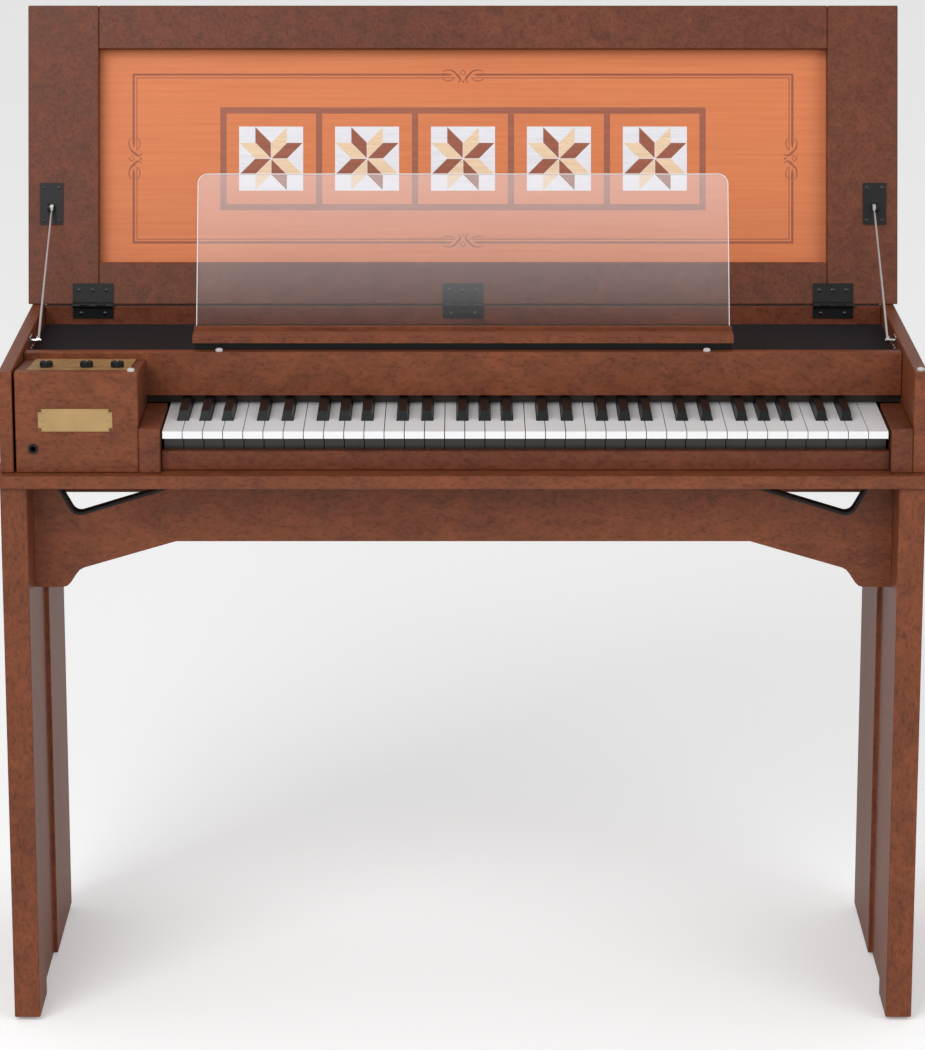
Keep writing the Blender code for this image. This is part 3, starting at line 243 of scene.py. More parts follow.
@dataclass(frozen=True)
class Burl:
    """Satin burl veneer: clouded ground, small eyes and fine dark flecks."""

    name: str
    ground: Colour
    grain: Grain = Grain.ALONG_X
    shift: float = 0.0
    rough: float = 0.42

    def make(self) -> bpy.types.Material:
        """Return the veneer's material.

        Returns:
            The new material.
        """
        recipe = Recipe(self.name)
        where = recipe.mapped(self.grain.value, (self.shift, self.shift * 0.7, self.shift * 1.3))
        dark = tuple(c * 0.74 for c in self.ground)
        light = tuple(min(1.0, c * 1.24) for c in self.ground)
        cloud = recipe.noise(where, 52.0, 6.0, 0.66, 0.9)
        base = recipe.ramp(cloud, ((0.32, dark), (0.50, self.ground), (0.70, light)))
        fleck = recipe.noise(where, 260.0, 3.0, 0.6, 0.5)
        fine = recipe.ramp(fleck, ((0.36, (0.72, 0.66, 0.63)), (0.47, (1.0, 1.0, 1.0)),
                                   (0.68, (1.16, 1.14, 1.12))))
        wide = recipe.noise(where, 4.5, 2.0)
        drift = recipe.ramp(wide, ((0.3, (0.86, 0.85, 0.85)), (0.7, (1.08, 1.07, 1.06))))
        toned = recipe.mix(0.85, base, fine, "MULTIPLY")
        recipe.colour(recipe.mix(1.0, toned, drift, "MULTIPLY"))
        recipe.gloss(cloud, self.rough - 0.06, self.rough + 0.10)
        recipe.bump(fleck, 0.25, 0.0002)
        recipe.shader.inputs["Specular IOR Level"].default_value = 0.30
        return recipe.material


@dataclass(frozen=True)
class StraightGrain:
    """Straight-grained veneer with fine long lines along X."""

    name: str
    light: Colour
    dark: Colour
    across: tuple[float, float, float] = (0.9, 40.0, 40.0)
    rough: float = 0.42

    def make(self) -> bpy.types.Material:
        """Return the veneer's material.

        Returns:
            The new material.
        """
        recipe = Recipe(self.name)
        lines = recipe.noise(recipe.mapped(self.across), 6.0, 5.0, 0.6, 0.2)
        base = recipe.ramp(lines, ((0.30, self.dark), (0.62, self.light)))
        pores = recipe.noise(recipe.mapped((14.0, 160.0, 160.0)), 5.0, 2.0)
        fine = recipe.ramp(pores, ((0.35, (0.84, 0.81, 0.79)), (0.52, (1.0, 1.0, 1.0))))
        recipe.colour(recipe.mix(0.4, base, fine, "MULTIPLY"))
        recipe.gloss(lines, self.rough - 0.05, self.rough + 0.08)
        recipe.bump(pores, 0.15, 0.0001)
        return recipe.material


@dataclass(frozen=True)
class PanelVeneer:
    """Straight-grained veneer on the panel's inner face and burl on its outer face."""

    name: str
    light: Colour
    dark: Colour
    outer: Colour
    outer_dark: Colour

    def make(self) -> bpy.types.Material:
        """Return the panel's material.

        Returns:
            The new material.
        """
        recipe = Recipe(self.name)
        lines = recipe.noise(recipe.mapped((0.9, 40.0, 40.0)), 6.0, 5.0, 0.6, 0.2)
        inner = recipe.ramp(lines, ((0.30, self.dark), (0.62, self.light)))
        cloud = recipe.noise(recipe.mapped((1.0, 1.0, 1.0)), 52.0, 6.0, 0.66, 0.9)
        outer = recipe.ramp(cloud, ((0.34, self.outer_dark), (0.66, self.outer)))
        across = recipe.add("ShaderNodeVectorMath", operation="DOT_PRODUCT")
        across.inputs[1].default_value = (0.0, math.cos(LID_LEAN), -math.sin(LID_LEAN))
        recipe.link(recipe.mapped((1.0, 1.0, 1.0), (0.0, -HINGE_Y, -HINGE_Z)), across.inputs[0])
        behind = recipe.add("ShaderNodeMath", operation="GREATER_THAN")
        behind.inputs[1].default_value = PANEL_FACE + PANEL_THICKNESS / 2.0
        recipe.link(across.outputs["Value"], behind.inputs[0])
        recipe.colour(recipe.mix(behind.outputs["Value"], inner, outer))
        recipe.gloss(lines, 0.36, 0.50)
        recipe.bump(cloud, 0.12, 0.0001)
        recipe.shader.inputs["Specular IOR Level"].default_value = 0.30
        return recipe.material


@dataclass(frozen=True)
class Moulded:
    """Plastic, lacquer or metal with a fine uneven surface."""

    name: str
    tone: Colour
    rough: float
    metal: float = 0.0
    texture: float = 900.0
    relief: float = 0.00004
    vary: float = 0.10
    shine: float = 0.5
    cover: float = 1.0

    def make(self) -> bpy.types.Material:
        """Return the material.

        Returns:
            The new material.
        """
        recipe = Recipe(self.name)
        where = recipe.mapped((1.0, 1.0, 1.0))
        skin = recipe.noise(where, self.texture, 2.0)
        patch = recipe.noise(where, 18.0, 3.0)
        low = tuple(c * (1.0 - self.vary) for c in self.tone)
        high = tuple(min(1.0, c * (1.0 + self.vary)) for c in self.tone)
        recipe.colour(recipe.ramp(patch, ((0.35, low), (0.65, high))))
        recipe.gloss(patch, max(0.04, self.rough - 0.05), self.rough + 0.06)
        recipe.bump(skin, 0.3, self.relief)
        recipe.shader.inputs["Metallic"].default_value = self.metal
        recipe.shader.inputs["Specular IOR Level"].default_value = self.shine
        recipe.shader.inputs["Alpha"].default_value = self.cover
        return recipe.material


@dataclass(frozen=True)
class KeyTop:
    """White moulded key, its part below the lip painted near black as painted shade under the overhanging
    lip.
    """

    name: str
    white: Colour
    shaded_lever: Colour
    lip: float

    def make(self) -> bpy.types.Material:
        """Return the key's material.

        Returns:
            The new material.
        """
        recipe = Recipe(self.name)
        where = recipe.mapped((1.0, 1.0, 1.0))
        split = recipe.add("ShaderNodeSeparateXYZ")
        recipe.link(recipe.spot, split.inputs["Vector"])
        above = recipe.add("ShaderNodeMath", operation="GREATER_THAN")
        above.inputs[1].default_value = self.lip
        recipe.link(split.outputs["Z"], above.inputs[0])
        patch = recipe.noise(where, 18.0, 3.0)
        tone = recipe.ramp(patch, ((0.35, tuple(c * 0.98 for c in self.white)), (0.65, self.white)))
        # Below the lip the colour is painted shade under the overhanging lip.
        recipe.colour(recipe.mix(above.outputs["Value"], self.shaded_lever, tone))
        recipe.gloss(patch, 0.20, 0.30)
        recipe.bump(recipe.noise(where, 1500.0, 2.0), 0.3, 0.00003)
        recipe.shader.inputs["Specular IOR Level"].default_value = 0.40
        return recipe.material


@dataclass(frozen=True)
class Cloth:
    """Dark napped cloth glued to the deck."""

    name: str
    tone: Colour

    def make(self) -> bpy.types.Material:
        """Return the cloth's material.

        Returns:
            The new material.
        """
        recipe = Recipe(self.name)
        where = recipe.mapped((1.0, 1.0, 1.0))
        nap = recipe.noise(where, 700.0, 4.0, 0.7, 0.6)
        low = tuple(c * 0.6 for c in self.tone)
        high = tuple(c * 1.5 for c in self.tone)
        recipe.colour(recipe.ramp(nap, ((0.32, low), (0.68, high))))
        recipe.bump(nap, 0.7, 0.0006)
        recipe.shader.inputs["Roughness"].default_value = 0.95
        recipe.shader.inputs["Specular IOR Level"].default_value = 0.15
        return recipe.material


@dataclass(frozen=True)
class ClearSheet:
    """Clear acrylic sheet with a painted reflection: a pale white cover that is fuller near its top edge.
    """

    name: str
    low: float
    high: float

    def make(self) -> bpy.types.Material:
        """Return the sheet's material.

        Returns:
            The new material.
        """
        recipe = Recipe(self.name)
        split = recipe.add("ShaderNodeSeparateXYZ")
        recipe.link(recipe.spot, split.inputs["Vector"])
        # The white cover's alpha rises with height: painted reflection, fuller near the top.
        climb = recipe.add("ShaderNodeMapRange")
        climb.inputs["From Min"].default_value = self.low
        climb.inputs["From Max"].default_value = self.high
        climb.inputs["To Min"].default_value = 0.005
        climb.inputs["To Max"].default_value = 0.145
        recipe.link(split.outputs["Z"], climb.inputs["Value"])
        recipe.link(climb.outputs["Result"], recipe.shader.inputs["Alpha"])
        reflection_patch = recipe.noise(recipe.mapped((1.0, 1.0, 1.0)), 8.0, 2.0)
        recipe.colour(recipe.ramp(reflection_patch, ((0.3, (0.90, 0.91, 0.93)), (0.7, (0.96, 0.97, 0.99)))))
        recipe.shader.inputs["Roughness"].default_value = 0.12
        recipe.shader.inputs["Specular IOR Level"].default_value = 0.12
        return recipe.material


def make_piece(name: str, mesh_data: bmesh.types.BMesh, material: bpy.types.Material, body: str,
               place: Matrix | None = None, smooth: bool = False) -> bpy.types.Object:
    """Turn a bmesh into a piece that rides on a body.

    Args:
        name: The piece's name.
        mesh_data: Its faces; freed here.
        material: Its material.
        body: The body it rides on.
        place: Its place in the frame.
        smooth: Whether round faces are shaded smooth.

    Returns:
        The new object.
    """
    bmesh.ops.recalc_face_normals(mesh_data, faces=mesh_data.faces)
    mesh = bpy.data.meshes.new(name)
    mesh_data.to_mesh(mesh)
    mesh_data.free()
    if smooth:
        mesh.shade_smooth()
        mesh.set_sharp_from_angle(angle=math.radians(40.0))
    mesh.materials.append(material)
    piece = bpy.data.objects.new(name, mesh)
    bpy.context.scene.collection.objects.link(piece)
    piece.matrix_world = place or Matrix.Identity(4)
    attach(piece, body)
    LOG.info("%s rides on %s", name, body)
    return piece


def dress(frame: dict, material: bpy.types.Material, *names: str) -> None:
    """Give CAD nodes a material.

    Args:
        material: The finish.
        *names: The nodes.
    """
    for name in names:
        mesh = frame["nodes"][name].data
        if len(mesh.materials) == 0:
            mesh.materials.append(material)
        for index in range(len(mesh.materials)):
            mesh.materials[index] = material
        LOG.info("%s dressed in %s", name, material.name)


def prism(mesh_data: bmesh.types.BMesh, outline: list[Point], front: float, back: float) -> None:
    """Extrude an outline drawn in X and Z between two depths.

    Args:
        mesh_data: Where the faces go.
        outline: Its corners.
        front: Nearer Y.
        back: Further Y.
    """
    near = [mesh_data.verts.new((x, front, z)) for x, z in outline]
    far = [mesh_data.verts.new((x, back, z)) for x, z in outline]
    mesh_data.faces.new(near)
    mesh_data.faces.new(list(reversed(far)))
    for index in range(len(outline)):
        after = (index + 1) % len(outline)
        mesh_data.faces.new((near[index], near[after], far[after], far[index]))


def turned(mesh_data: bmesh.types.BMesh, profile: list[Point], sides: int, place: Matrix) -> None:
    """Turn a profile of radius and height about Z.

    Args:
        mesh_data: Where the faces go.
        profile: Pairs of radius and height.
        sides: Facets round the axis.
        place: Where the turned form stands.
    """
    rings = []
    for radius, height in profile:
        ring = []
        for k in range(sides):
            angle = 2 * math.pi * k / sides
            spot = Vector((radius * math.cos(angle), radius * math.sin(angle), height))
            ring.append(mesh_data.verts.new(place @ spot))
        rings.append(ring)
    for lower, upper in zip(rings, rings[1:]):
        for k in range(sides):
            after = (k + 1) % sides
            mesh_data.faces.new((lower[k], lower[after], upper[after], upper[k]))
    mesh_data.faces.new(list(reversed(rings[0])))
    mesh_data.faces.new(rings[-1])


def band_path(points: list[Point], widths: list[float]) -> list[list[Point]]:
    """Return the quads of a band of varying width along a path.

    Args:
        points: The path's points in X and Z.
        widths: The band's width at each point.

    Returns:
        One list of four corners for each run.
    """
    sides = []
    last = len(points) - 1
    for index, point in enumerate(points):
        ahead = Vector(points[min(index + 1, last)]) - Vector(points[max(index - 1, 0)])
        normal = Vector((-ahead.y, ahead.x)).normalized() * widths[index] / 2.0
        sides.append((Vector(point) + normal, Vector(point) - normal))
    return [[tuple(a[0]), tuple(b[0]), tuple(b[1]), tuple(a[1])] for a, b in zip(sides, sides[1:])]


def lid_place(depth: float = 0.0) -> Matrix:
    """Return the lid's own frame at rest: origin on the hinge axis, Z up the lid, Y through it.

    Args:
        depth: How far the origin is moved through the lid.

    Returns:
        The frame's matrix.
    """
    return (Matrix.Translation((0.0, HINGE_Y, HINGE_Z)) @ Matrix.Rotation(-LID_LEAN, 4, "X")
            @ Matrix.Translation((0.0, depth, 0.0)))


@dataclass(frozen=True)
class Woods:
    """The veneers, made once and shared by the sub-assemblies."""

    long_ground: Colour = (0.172, 0.048, 0.018)
    # dark_ground is also the painted shade of the boards within the case; the lid's frame uses it too.
    dark_ground: Colour = (0.138, 0.037, 0.015)

    def boards(self) -> bpy.types.Material:
        """Return the veneer of the boards that run along X."""
        return Burl("burl_along", self.long_ground).make()

    def posts(self) -> bpy.types.Material:
        """Return the veneer of the boards that stand."""
        return Burl("burl_upright", self.long_ground, Grain.ALONG_Z, 0.37).make()

    def inside(self) -> bpy.types.Material:
        """Return the veneer of the boards within the case, darkened as painted shade."""
        return Burl("burl_painted_shade", self.dark_ground, Grain.ALONG_X, 0.81).make()

    def lid(self) -> bpy.types.Material:
        """Return the veneer of the lid's frame."""
        return Burl("burl_lid", self.dark_ground, Grain.ALONG_Y, 1.23).make()


@dataclass
class Stand:
    """Legs, apron, notch edging, rear rail and the glides' sleeves."""

    sleeve_radius: float = 0.0078
    sleeve_low: float = 0.0006
    sleeve_high: float = 0.0038
    glide_x: float = 0.524
    glide_depths: tuple[float, float] = (0.028, 0.370)

    def build(self, frame: dict, boards: bpy.types.Material, posts: bpy.types.Material,
              black: bpy.types.Material) -> None:
        """Dress the stand and put a black sleeve on each glide.

        Args:
            boards: Veneer along X.
            posts: Upright veneer.
            black: Black plastic.
        """
        dress(frame, boards, "apron", "rear_rail")
        dress(frame, posts, "leg_left", "leg_right")
        dress(frame, black, "notch_trim_left", "notch_trim_right")
        mesh_data = bmesh.new()
        for side in Side:
            for depth in self.glide_depths:
                spot = Matrix.Translation((side.value * self.glide_x, FRONT_EDGE + depth, 0.0))
                turned(mesh_data, [(self.sleeve_radius * 0.92, self.sleeve_low),
                                   (self.sleeve_radius, self.sleeve_low + 0.0008),
                                   (self.sleeve_radius, self.sleeve_high)], 24, spot)
        make_piece("glide_sleeves", mesh_data, black, "cabinet", smooth=True)


@dataclass
class Case:
    """Boards of the case, the deck and the bumpers the closed lid meets."""

    bumper_radius: float = 0.0045
    bumper_height: float = 0.004
    bumpers: tuple[tuple[float, float, float], ...] = (
        (-0.38575, 0.02475, 0.7980), (-0.291, 0.15275, 0.7930),
        (0.291, 0.15275, 0.7930), (0.53175, 0.02475, 0.7990))

    def build(self, frame: dict, boards: bpy.types.Material, inside: bpy.types.Material,
              clear: bpy.types.Material) -> None:
        """Dress the case and set the bumpers.

        Args:
            boards: Veneer along X.
            inside: Veneer darkened as painted shade, for the boards within the case.
            clear: Clear soft plastic.
        """
        dress(frame, boards, "base_board", "cheek_left", "cheek_right", "name_board")
        # The slip, key blocks and back wall take the veneer darkened as painted shade.
        dress(frame, inside, "key_slip", "key_block_left", "key_block_right", "back_wall")
        dress(frame, Cloth("deck_felt", (0.020, 0.016, 0.018)).make(), "deck")
        # The rail's pine is darkened as painted shade where it shows in the gap under the name board.
        shaded_pine = StraightGrain("pine_painted_shade", (0.060, 0.042, 0.030), (0.042, 0.029, 0.021))
        dress(frame, shaded_pine.make(), "deck_frame")
        mesh_data = bmesh.new()
        for x, depth, seat in self.bumpers:
            spot = Matrix.Translation((x, FRONT_EDGE + depth, seat - 0.0002))
            r, h = self.bumper_radius, self.bumper_height
            turned(mesh_data, [(r, 0.0), (r, h * 0.45), (r * 0.9, h * 0.75), (r * 0.55, h * 0.95),
                               (r * 0.2, h)], 20, spot)
        make_piece("lid_bumpers", mesh_data, clear, "cabinet", smooth=True)


@dataclass
class Keyboard:
    """Octave groups of naturals and sharps, and the frame under them."""

    octaves: int = 5

    def build(self, frame: dict, metal: bpy.types.Material) -> None:
        """Dress the keys and their frame.

        Args:
            metal: Grey metal.
        """
        # The third colour is painted shade, used below the key's lip.
        white = KeyTop("key_white", (0.82, 0.82, 0.835), (0.055, 0.048, 0.046), 0.7189)
        black = Moulded("key_black", (0.006, 0.006, 0.0065), 0.36, texture=1500.0, shine=0.22)
        dress(frame, white.make(), *("naturals_%d" % n for n in range(1, self.octaves + 1)))
        dress(frame, black.make(), *("sharps_%d" % n for n in range(1, self.octaves + 1)))
        dress(frame, metal, "key_frame")


@dataclass
class ControlBox:
    """Box at the bass end with its plate, knobs, brass plate and headphone jack."""

    slope: float = math.radians(6.1)
    hinge_depth: float = 0.0325
    hinge_height: float = 0.7964
    knob_seat: float = 0.0021
    knob_height: float = 0.007
    knob_setback: float = 0.022
    knob_radius: float = 0.0075
    rib_count: int = 24
    rib_radius: float = 0.00035
    rib_foot: float = 0.0012
    rib_sunk: float = 0.00005
    plate_edges: tuple[float, float, float, float] = (-0.4942, -0.4077, 0.728, 0.755)
    plate_face: float = 0.0155
    plate_nick: float = 0.004
    rim_inset: float = 0.0013
    rim_width: float = 0.0008
    rim_proud: float = 0.0003
    rim_sunk: float = 0.0002
    pin_inset: float = 0.0048
    screw_columns: tuple[float, float] = (-0.5035, -0.3935)
    screw_rows: tuple[float, float] = (0.0065, 0.0995)
    knobs: tuple[tuple[str, float], ...] = (("left", -0.487), ("middle", -0.440), ("right", -0.404))

    def on_bed(self) -> Matrix:
        """Return the frame of the sloping bed."""
        return (Matrix.Translation((0.0, FRONT_EDGE + self.hinge_depth, self.hinge_height))
                @ Matrix.Rotation(-self.slope, 4, "X"))

    def build(self, frame: dict, boards: bpy.types.Material, inside: bpy.types.Material,
              black: bpy.types.Material, brass: bpy.types.Material) -> None:
        """Dress the box, line the knobs and fix its plates with small screws.

        Args:
            boards: Veneer along X.
            inside: Veneer darkened as painted shade.
            black: Black plastic.
            brass: Satin brass.
        """
        dress(frame, boards, "control_front")
        # The box's bed and side take the veneer darkened as painted shade.
        dress(frame, inside, "control_bed", "control_side")
        dress(frame, Burl("plate_burl", (0.34, 0.20, 0.075), Grain.ALONG_X, 2.1).make(), "control_plate")
        dress(frame, black, "headphone_jack", *("knob_" + name for name, _ in self.knobs))
        dress(frame, brass, "nameplate")
        green = Moulded("circuit_green", (0.02, 0.16, 0.06), 0.45)
        dress(frame, green.make(), "control_board", "main_board")
        white = Moulded("pointer_white", (0.75, 0.75, 0.73), 0.5, vary=0.03).make()
        top = self.knob_seat + self.knob_height
        rib = [(self.rib_radius, self.rib_foot), (self.rib_radius, self.knob_height * 0.74)]
        outward = Matrix.Translation((self.knob_radius - self.rib_sunk, 0.0, 0.0))
        for name, x in self.knobs:
            body = "knob_" + name
            mesh_data = bmesh.new()
            for k in range(self.rib_count):
                angle = 2 * math.pi * k / self.rib_count
                seat = Matrix.Translation((x, self.knob_setback, self.knob_seat))
                turned(mesh_data, rib, 6, seat @ Matrix.Rotation(angle, 4, "Z") @ outward)
            make_piece("knob_ribs_" + name, mesh_data, black, body, self.on_bed())
            mesh_data = bmesh.new()
            prism(mesh_data, [(x - 0.0005, top - 0.0002), (x + 0.0005, top - 0.0002),
                              (x + 0.0005, top + 0.0002), (x - 0.0005, top + 0.0002)],
                  self.knob_setback + 0.0012, self.knob_setback + 0.0062)
            make_piece("knob_line_" + name, mesh_data, white, body, self.on_bed())
        self.fittings(brass)

    def fittings(self, brass: bpy.types.Material) -> None:
        """Raise a rim on the brass plate, pin it, and screw the control plate down.

        Args:
            brass: Satin brass.
        """
        left, right, low, high = self.plate_edges
        nick, inset = self.plate_nick, self.rim_inset
        a, b, c, d = left + inset, right - inset, low + inset, high - inset
        path = [(a + nick, c), (b - nick, c), (b - nick, c + nick), (b, c + nick),
                (b, d - nick), (b - nick, d - nick), (b - nick, d), (a + nick, d),
                (a + nick, d - nick), (a, d - nick), (a, c + nick), (a + nick, c + nick), (a + nick, c)]
        face = FRONT_EDGE + self.plate_face
        mesh_data = bmesh.new()
        half = self.rim_width / 2.0
        for (x0, z0), (x1, z1) in zip(path, path[1:]):
            lows = (min(x0, x1) - half, min(z0, z1) - half)
            highs = (max(x0, x1) + half, max(z0, z1) + half)
            outline = [lows, (highs[0], lows[1]), highs, (lows[0], highs[1])]
            prism(mesh_data, outline, face - self.rim_proud, face + self.rim_sunk)
        make_piece("nameplate_rim", mesh_data, brass, "cabinet")
        middle = (low + high) / 2.0
        mesh_data = bmesh.new()
        pins = [facing_player(x, face, middle) for x in (left + self.pin_inset, right - self.pin_inset)]
        screw_heads(mesh_data, pins, 0.0013, 0.0007)
        make_piece("nameplate_pins", mesh_data, brass, "cabinet", smooth=True)
        mesh_data = bmesh.new()
        corners = [Matrix.Translation((x, y, self.knob_seat - 0.0003))
                   for x in self.screw_columns for y in self.screw_rows]
        screw_heads(mesh_data, corners, 0.0016, 0.0006)
        make_piece("control_plate_screws", mesh_data, brass, "cabinet", self.on_bed(), smooth=True)


def screw_heads(mesh_data: bmesh.types.BMesh, spots: list[Matrix], radius: float, height: float) -> None:
    """Add round-headed screws, each sunk a little into what it holds.

    Args:
        mesh_data: Where the heads go.
        spots: One matrix for each head, Z pointing out of the surface.
        radius: The head's radius.
        height: Its height.
    """
    for spot in spots:
        turned(mesh_data, [(radius, -0.0002), (radius, height * 0.35), (radius * 0.82, height * 0.75),
                           (radius * 0.42, height), (radius * 0.34, height * 0.55)], 16, spot)


def facing_player(x: float, y: float, z: float) -> Matrix:
    """Return the matrix that points Z at the player from the given point.

    Args:
        x: The point's X.
        y: The point's Y.
        z: The point's Z.

    Returns:
        The matrix.
    """
    return Matrix.Translation((x, y, z)) @ Matrix.Rotation(math.radians(90.0), 4, "X")


@dataclass
class Inlay:
    """Star squares, their dark frame, and the banding with a scroll on each side."""

    square: float = 0.0805
    pitch: float = 0.1206
    star_height: float = 0.1847
    frame_half: float = 0.305
    frame_low: float = 0.1198
    frame_high: float = 0.2490
    frame_band: float = 0.00775
    band_half: float = 0.414
    band_low: float = 0.0794
    band_high: float = 0.2903
    thick: float = 0.0027
    thin: float = 0.0010
    thin_inset: float = 0.0041
    thick_gap: float = 0.026
    thin_gap: float = 0.0105
    stroke_weight: float = 1.25
    point_size: float = 0.965
    square_proud: float = 0.00010
    line_proud: float = 0.00012
    point_proud: float = 0.00016
    sunk: float = 0.0002

    def stars(self, light: bpy.types.Material, dark: bpy.types.Material,
              ground: bpy.types.Material) -> None:
        """Lay the five squares and the eight points of each star.

        Args:
            light: Pale wood.
            dark: Brown wood.
            ground: Greyish white wood.
        """
        tiles, darks, lights = bmesh.new(), bmesh.new(), bmesh.new()
        half = self.square / 2.0
        unit = self.square / 4.0
        for place in range(-2, 3):
            x, z = place * self.pitch, self.star_height
            left, right, low, high = x - half, x + half, z - half, z + half
            corners = [(left, low), (right, low), (right, high), (left, high)]
            prism(tiles, corners, PANEL_FACE - self.square_proud, PANEL_FACE + self.sunk)
            for turn in range(4):
                for shape, mesh_data in ((((0, 0), (0, 1), (-1, 2), (-1, 1)), darks),
                                         (((0, 0), (1, 1), (1, 2), (0, 1)), lights)):
                    middle = Vector((sum(p[0] for p in shape) / 4.0, sum(p[1] for p in shape) / 4.0))
                    corners = []
                    for p in shape:
                        spot = middle + (Vector(p) - middle) * self.point_size
                        for _ in range(turn):
                            spot = Vector((spot.y, -spot.x))
                        corners.append((x + spot.x * unit, z + spot.y * unit))
                    prism(mesh_data, corners, PANEL_FACE - self.point_proud, PANEL_FACE + self.sunk)
        make_piece("star_squares", tiles, ground, "lid", lid_place())
        make_piece("star_points_dark", darks, dark, "lid", lid_place())
        make_piece("star_points_light", lights, light, "lid", lid_place())

    def bars(self, material: bpy.types.Material) -> None:
        """Lay the dark frame round the squares and the bars between them.

        Args:
            material: Brown wood.
        """
        mesh_data = bmesh.new()
        h, b = self.frame_half, self.frame_band
        low, high = self.frame_low, self.frame_high
        boxes = [(-h, low, h, low + b), (-h, high - b, h, high)]
        between = (-self.pitch * 1.5, -self.pitch / 2, self.pitch / 2, self.pitch * 1.5)
        boxes += [(x - b / 2, low + b, x + b / 2, high - b) for x in (-h + b / 2, *between, h - b / 2)]
        for left, bottom, right, top in boxes:
            prism(mesh_data, [(left, bottom), (right, bottom), (right, top), (left, top)],
                  PANEL_FACE - self.line_proud, PANEL_FACE + self.sunk)
        make_piece("inlay_frame", mesh_data, material, "lid", lid_place())

    def scroll(self) -> list[list[Point]]:
        """Return the quads of one scroll, drawn along X with its crown towards positive Z.

        Its points and the widths of its strokes are millimetres.

        Returns:
            One list of four corners for each run of a stroke.
        """
        quads = []
        sweep = [(-25.6, 2.9), (-24.2, 4.7), (-21.5, 5.7), (-18.4, 5.9), (-15.0, 5.4), (-12.0, 4.0),
                 (-9.4, 1.8), (-6.8, -1.0), (-4.4, -3.6), (-3.4, -6.0), (-4.2, -8.6), (-6.7, -11.0)]
        weights = [0.5, 0.7, 0.9, 1.1, 1.3, 1.6, 1.9, 2.3, 2.4, 1.7, 1.0, 0.5]
        loop = [(-26.4, -4.4), (-24.0, -6.6), (-20.6, -8.0), (-17.0, -8.0), (-13.4, -6.7), (-10.4, -4.4)]
        slim = [0.5, 0.8, 1.0, 1.0, 0.8, 0.4]
        taper = [(-26.0, 0.0), (-18.0, 0.0), (-13.2, 0.0)]
        for sign in (1.0, -1.0):
            for points, widths in ((sweep, weights), (loop, slim), (taper, [2.7, 2.4, 0.5])):
                moved = [(sign * a / 1000.0, c / 1000.0) for a, c in points]
                quads += band_path(moved, [w * self.stroke_weight / 1000.0 for w in widths])
        ring = [(0.0, 6.2), (3.9, 1.8), (0.0, -0.6), (-3.9, 1.8), (0.0, 6.2)]
        quads += band_path([(a / 1000.0, c / 1000.0) for a, c in ring], [0.0010] * 5)
        quads.append([(0.0, -0.0107), (0.0016, -0.0088), (0.0, -0.0070), (-0.0016, -0.0088)])
        return quads

    def banding(self, material: bpy.types.Material) -> None:
        """Lay the thick and thin lines and a scroll at the middle of each side.

        Args:
            material: Brown wood.
        """
        mesh_data = bmesh.new()
        middle = (self.band_low + self.band_high) / 2.0
        tall = (self.band_high - self.band_low) / 2.0
        wide = self.band_half
        sides = ((0.0, self.band_high, 0.0, wide), (0.0, self.band_low, math.pi, wide),
                 (-wide, middle, math.pi / 2.0, tall), (wide, middle, -math.pi / 2.0, tall))
        lines = ((0.0, self.thick, self.thick_gap), (self.thin_inset, self.thin, self.thin_gap))
        for x, z, turn, reach in sides:
            quads = self.scroll()
            for inset, width, gap in lines:
                far = reach - inset + (width / 2.0 if abs(turn) in (0.0, math.pi) else -width / 2.0)
                for sign in (1.0, -1.0):
                    start, end = sorted((sign * gap, sign * far))
                    low = -inset - width / 2.0
                    quads.append([(start, low), (end, low), (end, low + width), (start, low + width)])
            for quad in quads:
                spots = []
                for a, c in quad:
                    spots.append((x + a * math.cos(turn) - c * math.sin(turn),
                                  z + a * math.sin(turn) + c * math.cos(turn)))
                prism(mesh_data, spots, PANEL_FACE - self.line_proud, PANEL_FACE + self.sunk)
        make_piece("inlay_banding", mesh_data, material, "lid", lid_place())


